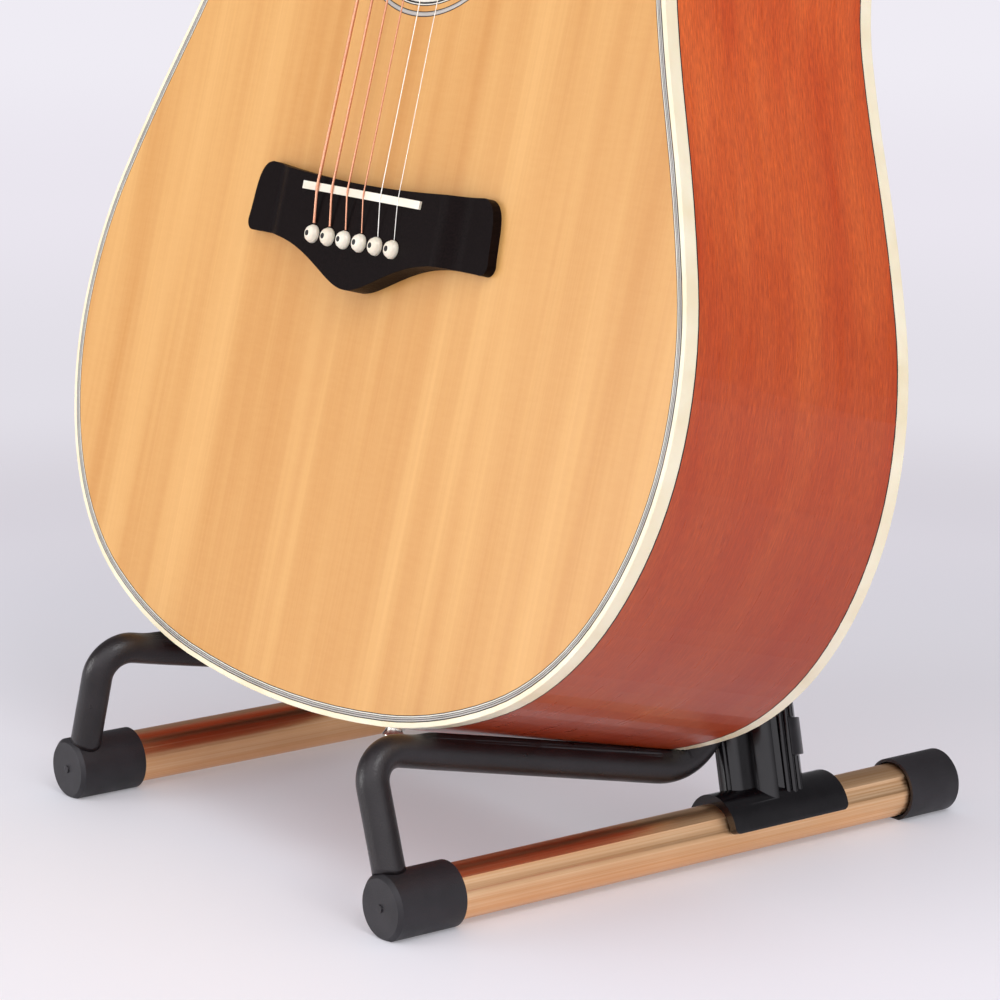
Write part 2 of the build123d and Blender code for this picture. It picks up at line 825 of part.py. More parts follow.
with BuildPart() as top_braces:
    for sign in (-1, 1):
        lower_end = under_top(-sign * 285 * cross_sin, brace_cross_v - 285 * cross_cos)
        upper_end = under_top(sign * 215 * cross_sin, brace_cross_v + 215 * cross_cos)
        brace(lower_end, upper_end, guitar.z_dir * -1, brace_height, brace_width, 50)
    for first_u, first_share, last_u, last_share, height, width in tone_bars:
        first_end = under_top(first_u, first_share * brace_cross_v)
        last_end = under_top(last_u, last_share * brace_cross_v)
        brace(first_end, last_end, guitar.z_dir * -1, height, width, 40)
    reach, gap, height, width = shoulder_bar
    left_end = under_top(-reach, soundhole_v + gap)
    right_end = under_top(reach, soundhole_v + gap)
    brace(left_end, right_end, guitar.z_dir * -1, height, width, 40)
    keep_inside(lining_inset)
    add(bridge_plate.part, mode=Mode.SUBTRACT)
finish("top_braces", top_braces)

with BuildPart() as back_braces:
    neck_places = [(body_length - gap, height, width) for gap, height, width in neck_back_bars]
    for v, height, width in tail_back_bars + neck_places:
        left_end = on_back(-half_tail, v)
        right_end = on_back(half_tail, v)
        brace(left_end, right_end, back.z_dir * -1, height, width, 40)
    keep_inside(lining_inset)
finish("back_braces", back_braces)

# Bridge, saddle and pins
with BuildPart() as bridge:
    with BuildSketch(guitar):
        half = bridge_length / 2
        corner_u = half - bridge_corner_inset
        corner_v = saddle_v + bridge_top_v + bridge_corner_rise
        wing_v = saddle_v - bridge_wing_v
        with BuildLine():
            ThreePointArc(
                (-corner_u, corner_v), (0, saddle_v + bridge_top_v), (corner_u, corner_v)
            )
            Spline((corner_u, corner_v), (half, wing_v + 5), tangents=[(1, -0.1), (0.2, -1)])
            ThreePointArc((half, wing_v + 5), (half - 1, wing_v + 1.2), (half - 5, wing_v))
            Line((half - 5, wing_v), (0.75 * half, wing_v))
            Spline(
                (0.75 * half, wing_v),
                (0, saddle_v - bridge_belly_v),
                (-0.75 * half, wing_v),
                tangents=[(-1, 0), (-1, 0)],
            )
            Line((-0.75 * half, wing_v), (5 - half, wing_v))
            ThreePointArc((5 - half, wing_v), (1 - half, wing_v + 1.2), (-half, wing_v + 5))
            Spline((-half, wing_v + 5), (-corner_u, corner_v), tangents=[(0.2, 1), (1, 0.1)])
        make_face()
        with Locations((0, pin_v)):
            with GridLocations(string_spacing_bridge / (string_count - 1), 0, string_count, 1):
                Circle(pin_hole_radius, mode=Mode.SUBTRACT)
    extrude(amount=bridge_height)
    with BuildSketch(station(saddle_v)):
        with BuildLine():
            Polyline((-half - 1, 0), (-half - 1, bridge_wing_height), (-half * 0.82, bridge_wing_height))
            Spline(
                (-half * 0.82, bridge_wing_height),
                (-half * 0.62, bridge_height),
                tangents=[(1, 0), (1, 0)],
            )
            Line((-half * 0.62, bridge_height), (half * 0.62, bridge_height))
            Spline(
                (half * 0.62, bridge_height),
                (half * 0.82, bridge_wing_height),
                tangents=[(1, 0), (1, 0)],
            )
            Polyline(
                (half * 0.82, bridge_wing_height),
                (half + 1, bridge_wing_height),
                (half + 1, 0),
                (-half - 1, 0),
            )
        make_face()
    extrude(amount=bridge_length, both=True, mode=Mode.INTERSECT)
    with BuildSketch(guitar.offset(bridge_height)):
        with Locations((0, saddle_v)):
            Rectangle(saddle_length, saddle_width)
    extrude(amount=-saddle_slot_depth, mode=Mode.SUBTRACT)
finish("bridge", bridge)


with BuildPart() as bridge_pins:
    for number in range(1, string_count + 1):
        u = string_spacing_bridge * (0.5 - (number - 1) / (string_count - 1))
        pin_seat = spot(u, pin_v, bridge_height)
        with BuildSketch(Plane(origin=pin_seat, x_dir=(1, 0, 0), z_dir=guitar.y_dir * -1)):
            with BuildLine():
                Polyline(
                    (0, -pin_shaft_length),
                    (0.7 * pin_hole_radius, -pin_shaft_length),
                    (pin_hole_radius, 0),
                    (pin_head_radius, 0),
                    (pin_head_radius, pin_rim_height),
                    (0.8 * pin_head_radius, 0.72 * pin_head_height),
                    (0.4 * pin_head_radius, pin_head_height),
                    (0, pin_head_height),
                    close=True,
                )
            make_face()
        revolve(axis=Axis(pin_seat, guitar.z_dir))
finish("bridge_pins", bridge_pins)

with BuildPart() as end_pin:
    with BuildSketch(Plane(origin=end_pin_axis.origin, x_dir=(1, 0, 0), z_dir=guitar.z_dir)):
        with BuildLine():
            Polyline(
                (0, -end_pin_length),
                (0, tail_block_length),
                (0.8 * end_pin_radius, tail_block_length),
                (end_pin_radius, 0),
                (end_pin_head_radius, 0),
                (end_pin_head_radius, -1.6),
            )
            Spline(
                (end_pin_head_radius, -1.6),
                (0.62 * end_pin_head_radius, -0.42 * end_pin_length),
                (0.78 * end_pin_head_radius, -0.72 * end_pin_length),
            )
            dome((0.78 * end_pin_head_radius, -0.72 * end_pin_length), (0, -end_pin_length))
        make_face()
    revolve(axis=Axis(end_pin_axis.origin, guitar.y_dir))
finish("end_pin", end_pin)

# Neck, fretboard and headstock
def neck_section(plane, half_width, depth):
    # Rounded section of the neck under its flat face
    with BuildSketch(plane) as section:
        with BuildLine() as edge:
            Line((-half_width, 0), (half_width, 0))
            Spline(
                (half_width, 0),
                (0, -depth),
                (-half_width, 0),
                tangents=[(-0.15, -1), (-0.15, 1)],
            )
        make_face(edge.edges())
    return section.sketch


heel_end_v = body_length + heel_length
volute_end = head.origin + head.y_dir * volute_length

with BuildPart() as neck_blank:
    heel_sections = []
    for reach, depth in heel_stations:
        v = body_length + reach
        heel_sections.append(neck_section(station(v), fretboard_half(v), depth))
    loft(heel_sections)
    loft(
        [
            neck_section(station(heel_end_v), fretboard_half(heel_end_v), neck_depth_heel),
            neck_section(station(nut_v), nut_width / 2, neck_depth_nut),
        ]
    )
    loft(
        [
            neck_section(station(nut_v), nut_width / 2, neck_depth_nut),
            neck_section(station(nut_v + nut_thickness), nut_width / 2, neck_depth_nut),
            neck_section(
                Plane(volute_end, x_dir=(1, 0, 0), z_dir=head.y_dir * -1),
                nut_width / 2 + volute_flare,
                neck_depth_nut,
            ),
        ],
        ruled=True,
    )
    split(bisect_by=behind(heel_cap_thickness), keep=Keep.BOTTOM)
    with BuildSketch(head):
        head_shape()
    extrude(amount=-head_thickness)

with BuildPart() as heel_cap:
    with BuildSketch(station(body_length)):
        with Locations((0, -heel_depth / 2)):
            Rectangle(neck_seat_width, 3 * heel_depth)
    extrude(amount=-heel_length)
    split(bisect_by=behind(heel_cap_thickness), keep=Keep.TOP)
    split(bisect_by=behind(0), keep=Keep.BOTTOM)
    loft(heel_sections, mode=Mode.INTERSECT)
finish("heel_cap", heel_cap)

truss_start_v = body_length + truss_rod_start
truss_length = nut_v + nut_thickness - truss_start_v

with BuildPart() as truss_rod:
    with BuildSketch(station(truss_start_v)):
        with Locations((0, -truss_channel_depth / 2)):
            Rectangle(truss_channel_width, truss_channel_depth)
    extrude(amount=-truss_length)
    with BuildSketch(station(truss_start_v + truss_length)):
        with Locations((0, -truss_channel_depth / 2)):
            RegularPolygon(truss_channel_width / 2, 6)
    extrude(amount=-nut_thickness)
finish("truss_rod", truss_rod)

with BuildPart() as fretboard:
    board_ends = []
    for v in (fretboard_end_v, nut_v):
        half = fretboard_half(v)
        with BuildSketch(station(v)) as board_end:
            with BuildLine():
                Polyline(
                    (-half, fretboard_thickness - crown(half)),
                    (-half, 0),
                    (half, 0),
                    (half, fretboard_thickness - crown(half)),
                )
                ThreePointArc(
                    (-half, fretboard_thickness - crown(half)),
                    (0, fretboard_thickness),
                    (half, fretboard_thickness - crown(half)),
                )
            make_face()
        board_ends.append(board_end.sketch)
    loft(board_ends, ruled=True)
finish("fretboard", fretboard)

with BuildPart() as frets:
    for fret in range(1, fret_count + 1):
        v = nut_v - scale_length * (1 - 2 ** (-fret / 12))
        half = fretboard_half(v)
        side_rise = fretboard_thickness - crown(half)
        with BuildSketch(station(v - fret_width / 2)):
            with BuildLine():
                ThreePointArc((-half, side_rise), (0, fretboard_thickness), (half, side_rise))
                Line((half, side_rise), (half - fret_height, side_rise + fret_height))
                ThreePointArc(
                    (half - fret_height, side_rise + fret_height),
                    (0, fretboard_thickness + fret_height),
                    (fret_height - half, side_rise + fret_height),
                )
                Line((fret_height - half, side_rise + fret_height), (-half, side_rise))
            make_face()
        extrude(amount=-fret_width)
finish("frets", frets)

# Headstock: veneer, truss rod cover and the six tuning machines
tuners = []
for number in range(1, string_count + 1):
    hand = 1 if number <= 3 else -1
    row = min(number, string_count + 1 - number) - 1
    across = hand * (tuner_side_offset + row * tuner_side_step)
    tuners.append((number, hand, across, tuner_rows[row]))


def head_spot(x, y, z=0.0):
    # Place on the headstock's wooden face
    return head.from_local_coords(Vector(x, y, z))


def head_edge(y):
    # Half width of the headstock beside a tuner
    share = (y - head_flare_length) / (head_length - head_tip_crown - head_flare_length)
    return (head_base_width + (head_tip_width - head_base_width) * share) / 2


def knob_plane(hand, across, y):
    # Plane across the worm shaft at the post; Z points out past the headstock's edge
    place = head_spot(across, y - worm_offset, -head_thickness - worm_depth)
    return Plane(origin=place, x_dir=head.y_dir, z_dir=(hand, 0, 0))


with BuildPart() as headstock_veneer:
    with BuildSketch(head):
        head_shape()
    extrude(amount=veneer_thickness)
    with BuildSketch(head):
        for number, hand, across, y in tuners:
            with Locations((across, y)):
                Circle(bushing_radius)
    extrude(amount=veneer_thickness, mode=Mode.SUBTRACT)
finish("headstock_veneer", headstock_veneer)

with BuildPart() as truss_rod_cover:
    with BuildSketch(head.offset(veneer_thickness)):
        with BuildLine():
            Polyline(
                (-truss_cover_width / 2, 6),
                (-truss_cover_width / 2, 1),
                (truss_cover_width / 2, 1),
                (truss_cover_width / 2, 6),
            )
            Spline(
                (truss_cover_width / 2, 6),
                (truss_cover_width / 5, truss_cover_length - 4),
                tangents=[(0, 1), (-0.2, 1)],
            )
            ThreePointArc(
                (truss_cover_width / 5, truss_cover_length - 4),
                (0, truss_cover_length),
                (-truss_cover_width / 5, truss_cover_length - 4),
            )
            Spline(
                (-truss_cover_width / 5, truss_cover_length - 4),
                (-truss_cover_width / 2, 6),
                tangents=[(-0.2, -1), (0, -1)],
            )
        make_face()
    extrude(amount=truss_cover_thickness)
finish("truss_rod_cover", truss_rod_cover)

with BuildPart() as neck:
    add(neck_blank.part)
    with BuildSketch(head):
        for number, hand, across, y in tuners:
            with Locations((across, y)):
                Circle(bushing_radius)
    extrude(amount=-2 * head_thickness, mode=Mode.SUBTRACT)
    add(truss_rod.part, mode=Mode.SUBTRACT)
finish("neck", neck)

with BuildPart() as tuner_bushings:
    for number, hand, across, y in tuners:
        with BuildSketch(head.offset(-head_thickness)):
            with Locations((across, y)):
                Circle(bushing_radius)
        extrude(amount=head_thickness + veneer_thickness)
        with BuildSketch(head.offset(veneer_thickness)):
            with Locations((across, y)):
                RegularPolygon(bushing_flange_radius, 6)
        extrude(amount=bushing_flange_height)
        with BuildSketch(head.offset(-head_thickness)):
            with Locations((across, y)):
                Circle(post_radius + running_gap)
        extrude(amount=2 * head_thickness, mode=Mode.SUBTRACT)
finish("tuner_bushings", tuner_bushings)

with BuildPart() as tuner_housings:
    for number, hand, across, y in tuners:
        with BuildSketch(head.offset(-head_thickness)):
            with Locations((across, y - worm_offset / 2)):
                RectangleRounded(housing_width, housing_length, 3)
        extrude(amount=-housing_height)
        with BuildSketch(head.offset(-head_thickness)):
            with Locations((across, y)):
                Circle(post_radius + running_gap)
        extrude(amount=housing_wall - housing_height, mode=Mode.SUBTRACT)
        with BuildSketch(knob_plane(hand, across, y)):
            Circle(knob_shaft_radius + running_gap)
        extrude(amount=housing_width, mode=Mode.SUBTRACT)
finish("tuner_housings", tuner_housings)

for number, hand, across, y in tuners:
    post_base = housing_wall + rest_gap - head_thickness - housing_height
    post_top = veneer_thickness + post_rise
    wind_height = veneer_thickness + post_wind_rise
    with BuildPart() as tuner_post:
        for base, top, radius in (
            (post_base, wind_height - post_waist_length / 2, post_radius),
            (post_base, wind_height + post_waist_length / 2, post_waist_radius),
            (wind_height + post_waist_length / 2, post_top, post_radius),
        ):
            with BuildSketch(head.offset(base)):
                with Locations((across, y)):
                    Circle(radius)
            extrude(amount=top - base)
        with BuildSketch(Plane(origin=head_spot(across, y, wind_height), x_dir=(1, 0, 0), z_dir=head.y_dir)):
            Circle(post_hole_radius)
        extrude(amount=2 * post_radius, both=True, mode=Mode.SUBTRACT)
    finish(f"tuner_post_{number}", tuner_post)

    shaft_end = head_edge(y) - abs(across) + knob_gap
    with BuildPart() as tuner_knob:
        with BuildSketch(knob_plane(hand, across, y).offset(rest_gap)):
            Circle(knob_shaft_radius)
        extrude(amount=shaft_end)
        with BuildSketch(knob_plane(hand, across, y).offset(shaft_end)):
            SlotOverall(knob_height, knob_thickness)
        extrude(amount=knob_length)
        chamfer(tuner_knob.edges().group_by(Axis.X)[-1 if hand > 0 else 0], knob_bevel)
    finish(f"tuner_knob_{number}", tuner_knob)


# Strings: from the bridge pins over the saddle and the nut to the posts
def string_path(number, radius):
    pin_u = string_u(number, saddle_v)
    nut_u = string_u(number, nut_v)
    hand, across, y = [tuner[1:] for tuner in tuners if tuner[0] == number][0]
    saddle_top = saddle_crown_height - crown(pin_u) + radius
    nut_top = nut_height - crown(nut_u) - radius
    wind_u = across - hand * (post_radius + string_gap + radius)
    wind_rise = veneer_thickness + post_wind_rise
    return [
        spot(pin_u, pin_v + pin_head_radius + radius, bridge_height + radius),
        spot(pin_u, saddle_v, saddle_top),
        spot(nut_u, nut_v + nut_thickness / 2, nut_top),
        head_spot(wind_u, y, wind_rise),
    ]


def string_set(radii):
    for number, radius in radii.items():
        with BuildLine() as path:
            Polyline(*string_path(number, radius))
        with BuildSketch(Plane(origin=path.line @ 0, z_dir=path.line % 0)) as section:
            Circle(radius)
        sweep(section.sketch, path=path.line, transition=Transition.RIGHT)


with BuildPart() as wound_strings:
    string_set(wound_radii)
finish("wound_strings", wound_strings)

with BuildPart() as plain_strings:
    string_set(plain_radii)
finish("plain_strings", plain_strings)

saddle_drop = crown(saddle_length / 2)
with BuildPart() as saddle:
    with BuildSketch(station(saddle_v)):
        with BuildLine():
            ThreePointArc(
                (-saddle_length / 2, saddle_crown_height - saddle_drop),
                (0, saddle_crown_height),
                (saddle_length / 2, saddle_crown_height - saddle_drop),
            )
            Polyline(
                (saddle_length / 2, saddle_crown_height - saddle_drop),
                (saddle_length / 2, bridge_height - saddle_slot_depth),
                (-saddle_length / 2, bridge_height - saddle_slot_depth),
                (-saddle_length / 2, saddle_crown_height - saddle_drop),
            )
        make_face()
    extrude(amount=saddle_width / 2, both=True)
    add(wound_strings.part, mode=Mode.SUBTRACT)
    add(plain_strings.part, mode=Mode.SUBTRACT)
finish("saddle", saddle)

with BuildPart() as nut:
    half = nut_width / 2
    edge_height = nut_height - crown(half)
    with BuildSketch(station(nut_v)):
        with BuildLine():
            Polyline((-half, edge_height), (-half, 0), (half, 0), (half, edge_height))
            ThreePointArc((-half, edge_height), (0, nut_height), (half, edge_height))
        make_face()
    extrude(amount=-nut_thickness)
    add(wound_strings.part, mode=Mode.SUBTRACT)
    add(plain_strings.part, mode=Mode.SUBTRACT)
finish("nut", nut)
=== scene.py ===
import json
import math
import bmesh
import bpy
from mathutils import Matrix, Vector, noise
from mathutils.bvhtree import BVHTree


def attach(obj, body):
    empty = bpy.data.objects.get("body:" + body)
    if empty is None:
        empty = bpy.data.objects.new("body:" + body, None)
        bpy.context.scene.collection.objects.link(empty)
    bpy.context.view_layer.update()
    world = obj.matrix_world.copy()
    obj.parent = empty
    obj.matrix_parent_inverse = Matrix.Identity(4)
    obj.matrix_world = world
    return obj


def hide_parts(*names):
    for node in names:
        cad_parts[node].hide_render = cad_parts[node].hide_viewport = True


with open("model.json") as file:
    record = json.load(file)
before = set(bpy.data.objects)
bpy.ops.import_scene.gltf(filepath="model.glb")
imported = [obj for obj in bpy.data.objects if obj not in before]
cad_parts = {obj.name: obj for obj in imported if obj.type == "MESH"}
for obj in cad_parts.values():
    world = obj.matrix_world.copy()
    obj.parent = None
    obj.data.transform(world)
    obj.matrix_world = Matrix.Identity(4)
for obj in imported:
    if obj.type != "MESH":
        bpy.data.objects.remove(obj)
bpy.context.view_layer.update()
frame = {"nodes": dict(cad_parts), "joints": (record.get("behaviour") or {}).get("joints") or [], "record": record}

# An acoustic guitar on its folding stand. Blender works in metres; sizes are millimetres times mm
mm = 0.001
nodes = frame["nodes"]
record = frame["record"]
bodyOf = {node: body for body, held in record["behaviour"]["bodies"].items() for node in held}
slotOf = {part["node"]: part["material_slot"] for part in record["subparts"]}
joints = {joint["name"]: joint for joint in frame["joints"]}


def hexColor(code):
    # sRGB hex to the linear colour that a shader socket takes
    parts = [int(code[i:i + 2], 16) / 255 for i in (1, 3, 5)]
    return (*[c / 12.92 if c <= 0.04045 else ((c + 0.055) / 1.055) ** 2.4 for c in parts], 1.0)


def addNode(tree, kind, settings=None, inputs=None):
    # One node with its settings; an input takes a value or another node's output
    node = tree.nodes.new(kind)
    for name, value in (settings or {}).items():
        setattr(node, name, value)
    for name, value in (inputs or {}).items():
        if isinstance(value, bpy.types.NodeSocket):
            tree.links.new(value, node.inputs[name])
        else:
            node.inputs[name].default_value = value
    return node


# The camera stands low on the right and looks slightly down. Metres, degrees and a lens in millimetres
camera = {
    "place": (1.1575, -0.9158, 0.4449),
    "azimuth": 52.49,
    "elevation": 12.18,
    "roll": 0.42,
    "lens": 130.19,
}


def makeCamera():
    azimuth = math.radians(camera["azimuth"])
    elevation = math.radians(camera["elevation"])
    roll = math.radians(camera["roll"])
    level = math.cos(elevation)
    back = Vector((math.sin(azimuth) * level, -math.cos(azimuth) * level, math.sin(elevation)))
    right = Vector((math.cos(azimuth), math.sin(azimuth), 0))
    up = back.cross(right)
    turned = Matrix((
        right * math.cos(roll) + up * math.sin(roll),
        up * math.cos(roll) - right * math.sin(roll),
        back,
    )).transposed().to_4x4()
    data = bpy.data.cameras.new("camera")
    data.lens = camera["lens"]
    data.clip_start = 0.05
    data.clip_end = 60
    eye = bpy.data.objects.new("camera", data)
    eye.matrix_world = Matrix.Translation(camera["place"]) @ turned
    bpy.context.scene.collection.objects.link(eye)
    bpy.context.scene.camera = eye


makeCamera()
print("camera made")

# Studio: a pale sweep of floor whose colour grades with depth as painted light and shade, a soft sky and large
# softboxes
studio = {
    "floorSize": 40,
    # The near floor's colour is painted light and shade: lightest towards the camera, darkest just behind the
    # object where its shadow falls
    "nearPaintedLight": [  # metres behind the object's middle, seen from the camera, and the floor's colour
        (-0.25, "#FAF9FF"), (0.0, "#EFF0F6"), (0.2, "#E0E1E7"), (0.6, "#E6E5EB"),
    ],
    "farTones": [  # metres from the object's middle, and the tone that the eye and shines see there
        (0.0, "#DCDADF"), (0.3, "#DEDCE1"), (0.5, "#DAD6DD"), (0.6, "#D6D2DA"), (0.95, "#E2DFE7"),
        (1.95, "#EAE6EF"), (3.5, "#EFECF4"),
    ],
    "softEdge": (0.42, 0.75),  # metres from the middle over which the backdrop takes over from the floor
    "ownTone": 0.3,  # share of that tone inside the soft edge; it evens the floor's shadows
    "skyColor": "#F6F4FA",
    "skyLight": 0.88,
    "shineFrom": (0.78, -0.6, 0.18),  # the bright side of the studio, as shiny pieces see it
    "shineLow": 0.2,  # the sky's brightness in a shine, away from that side and towards it
    "shineHigh": 1.7,
    "shineFull": 0.85,  # cosine of the angle from that side within which it is brightest
    "aim": (0, 0, 0.3),  # the middle of what the softboxes light
    "softboxes": [  # name, place, side length and watts
        ("frontTop", (0.4, -1.9, 1.9), 2.0, 6),
        ("frontLow", (-1.2, -2.1, 0.45), 1.2, 23),
        ("right", (1.9, -0.5, 2.4), 1.1, 20),
    ],
}


def toneRamp(tree, distance, tones):
    # A colour ramp over a distance in metres
    first, last = tones[0][0], tones[-1][0]
    share = addNode(tree, "ShaderNodeMapRange", None, {
        "Value": distance, "From Min": first, "From Max": last,
    })
    made = addNode(tree, "ShaderNodeValToRGB", None, {"Fac": share.outputs["Result"]})
    made.color_ramp.interpolation = "EASE"
    stops = made.color_ramp.elements
    for reach, code in tones[1:-1]:
        stops.new((reach - first) / (last - first)).color = hexColor(code)
    stops[0].color = hexColor(tones[0][1])
    stops[-1].color = hexColor(tones[-1][1])
    return made.outputs["Color"]


def makeFloor():
    mesh = bpy.data.meshes.new("floor")
    half = studio["floorSize"] / 2
    corners = [(-half, -half, 0), (half, -half, 0), (half, half, 0), (-half, half, 0)]
    mesh.from_pydata(corners, [], [(0, 1, 2, 3)])
    floor = bpy.data.objects.new("floor", mesh)
    bpy.context.scene.collection.objects.link(floor)
    paper = bpy.data.materials.new("studioPaper")  # matte paper with a faint shine that doubles the feet
    paper.use_nodes = True
    tree = paper.node_tree
    surface = tree.nodes["Principled BSDF"]
    surface.inputs["Roughness"].default_value = 0.45
    surface.inputs["Specular IOR Level"].default_value = 0.25
    where = addNode(tree, "ShaderNodeTexCoord").outputs["Object"]
    turned = addNode(tree, "ShaderNodeMapping", None, {
        "Vector": where, "Rotation": (0, 0, -math.radians(camera["azimuth"])),
    })
    depth = addNode(tree, "ShaderNodeSeparateXYZ", None, {"Vector": turned.outputs["Vector"]})
    # The floor's colour holds the painted light and shade that grade with depth
    paperPaintedLight = toneRamp(tree, depth.outputs["Y"], studio["nearPaintedLight"])
    tree.links.new(paperPaintedLight, surface.inputs["Base Color"])
    radius = addNode(tree, "ShaderNodeVectorMath", {"operation": "LENGTH"}, {0: where}).outputs["Value"]
    farTone = toneRamp(tree, radius, studio["farTones"])
    backdrop = addNode(tree, "ShaderNodeEmission", None, {"Color": farTone})
    edge = addNode(tree, "ShaderNodeMapRange", {"interpolation_type": "SMOOTHSTEP"}, {
        "Value": radius, "From Min": studio["softEdge"][0], "From Max": studio["softEdge"][1],
        "To Min": studio["ownTone"],
    })
    path = addNode(tree, "ShaderNodeLightPath")
    shown = addNode(tree, "ShaderNodeMath", {"operation": "MAXIMUM"}, {
        0: path.outputs["Is Camera Ray"], 1: path.outputs["Is Glossy Ray"],
    })
    amount = addNode(tree, "ShaderNodeMath", {"operation": "MULTIPLY"}, {
        0: edge.outputs["Result"], 1: shown.outputs["Value"],
    })
    mixed = addNode(tree, "ShaderNodeMixShader", None, {
        0: amount.outputs["Value"], 1: surface.outputs["BSDF"], 2: backdrop.outputs["Emission"],
    })
    tree.links.new(mixed.outputs["Shader"], tree.nodes["Material Output"].inputs["Surface"])
    mesh.materials.append(paper)


def makeLight():
    world = bpy.data.worlds.new("studio")
    bpy.context.scene.world = world
    world.use_nodes = True
    sky = world.node_tree
    sky.nodes.clear()
    path = addNode(sky, "ShaderNodeLightPath")
    way = addNode(sky, "ShaderNodeVectorMath", {"operation": "DOT_PRODUCT"}, {
        0: addNode(sky, "ShaderNodeTexCoord").outputs["Generated"], 1: studio["shineFrom"],
    })
    shine = addNode(sky, "ShaderNodeMapRange", {"interpolation_type": "SMOOTHSTEP"}, {
        "Value": way.outputs["Value"], "From Min": 0.0, "From Max": studio["shineFull"],
        "To Min": studio["shineLow"], "To Max": studio["shineHigh"],
    })
    power = addNode(sky, "ShaderNodeMapRange", None, {
        "Value": path.outputs["Is Glossy Ray"], "To Min": studio["skyLight"],
        "To Max": shine.outputs["Result"],
    })
    light = addNode(sky, "ShaderNodeBackground", None, {
        "Color": hexColor(studio["skyColor"]), "Strength": power.outputs["Result"],
    })
    seen = addNode(sky, "ShaderNodeBackground", None, {"Color": hexColor(studio["farTones"][-1][1])})
    mixed = addNode(sky, "ShaderNodeMixShader", None, {
        0: path.outputs["Is Camera Ray"], 1: light.outputs[0], 2: seen.outputs[0],
    })
    addNode(sky, "ShaderNodeOutputWorld", None, {"Surface": mixed.outputs[0]})
    for name, place, side, watts in studio["softboxes"]:
        data = bpy.data.lights.new(name, "AREA")
        data.shape = "SQUARE"
        data.size = side
        data.energy = watts
        lamp = bpy.data.objects.new(name, data)
        lamp.location = place
        toAim = Vector(studio["aim"]) - Vector(place)
        lamp.rotation_euler = toAim.to_track_quat("-Z", "Y").to_euler()
        bpy.context.scene.collection.objects.link(lamp)
    bpy.context.scene.view_settings.view_transform = "Standard"


makeFloor()
makeLight()
print("studio made")


# Materials. Each pattern's size is in millimetres, on Object coordinates or on a piece's own attribute
def newMaterial(name, settings):
    # A material with its constants set on the shader; gives its tree and its shader
    made = bpy.data.materials.new(name)
    made.use_nodes = True
    surface = made.node_tree.nodes["Principled BSDF"]
    for socket, value in settings.items():
        surface.inputs[socket].default_value = value
    return made, made.node_tree, surface


def stretched(tree, size, turn=(0, 0, 0), attribute=None):
    # Coordinates where one unit is the size in millimetres along each of the turned axes
    if attribute:
        start = addNode(tree, "ShaderNodeAttribute", {"attribute_name": attribute}).outputs["Vector"]
    else:
        start = addNode(tree, "ShaderNodeTexCoord").outputs["Object"]
    turned = addNode(tree, "ShaderNodeMapping", None, {"Vector": start, "Rotation": turn})
    return addNode(tree, "ShaderNodeMapping", None, {
        "Vector": turned.outputs["Vector"], "Scale": [1 / (side * mm) for side in size],
    }).outputs["Vector"]


def finishWith(tree, surface, color, roughness, height, depth):
    # Joins a colour, a roughness and a bump whose depth is in millimetres to the shader
    tree.links.new(color, surface.inputs["Base Color"])
    tree.links.new(roughness, surface.inputs["Roughness"])
    bump = addNode(tree, "ShaderNodeBump", None, {"Height": height, "Distance": depth * mm})
    tree.links.new(bump.outputs["Normal"], surface.inputs["Normal"])


def noiseBetween(tree, place, low, high, detail=3, soft=0.5):
    # Noise that runs from low to high, one feature to each unit of the coordinates. Nearly all of it lies
    # between 0.3 and 0.7, which are spread over the whole range
    pattern = addNode(tree, "ShaderNodeTexNoise", None, {
        "Vector": place, "Scale": 1.0, "Detail": detail, "Roughness": soft,
    })
    return addNode(tree, "ShaderNodeMapRange", None, {
        "Value": pattern.outputs["Fac"], "From Min": 0.3, "From Max": 0.7, "To Min": low, "To Max": high,
    }).outputs["Result"]


def blended(tree, amount, first, second):
    # Two colours mixed by an amount; a colour may be hex text. Sockets 6 and 7 take the colours
    pair = [hexColor(c) if isinstance(c, str) else c for c in (first, second)]
    return addNode(tree, "ShaderNodeMix", {"data_type": "RGBA"}, {
        0: amount, 6: pair[0], 7: pair[1],
    }).outputs[2]


def anodisedTube(name, turn):
    # Satin anodised aluminium: extruded lines run along the tube and streak its soft reflections. They are
    # drawn wider than real ones, to show
    made, tree, surface = newMaterial(name, {"Metallic": 1.0, "Anisotropic": 0.3})
    lines = stretched(tree, (0.7, 220, 0.7), turn)
    streak = noiseBetween(tree, lines, 0, 1, 2)
    shade = noiseBetween(tree, stretched(tree, (30, 60, 30)), 0, 1)
    tint = blended(tree, streak, "#EDB680", "#FBD4A8")
    tint = blended(tree, shade, tint, blended(tree, 0.5, tint, "#E4AA74"))
    gloss = noiseBetween(tree, lines, 0.28, 0.42, 2)
    finishWith(tree, surface, tint, gloss, streak, 0.012)
    return made


def mouldedRubber(name, dark, pale, matte, grit):
    # Moulded rubber or vinyl: a fine grit breaks the shine, and handling leaves paler clouds. The grit is
    # drawn coarse enough to show
    made, tree, surface = newMaterial(name, {"Specular IOR Level": 0.42, "IOR": 1.5})
    cloud = noiseBetween(tree, stretched(tree, (14, 14, 14)), 0, 1, 4)
    grain = noiseBetween(tree, stretched(tree, (grit, grit, grit)), 0, 1, 2)
    tint = blended(tree, cloud, dark, pale)
    gloss = noiseBetween(tree, stretched(tree, (9, 9, 9)), matte - 0.06, matte + 0.08)
    finishWith(tree, surface, tint, gloss, grain, 0.05)
    return made


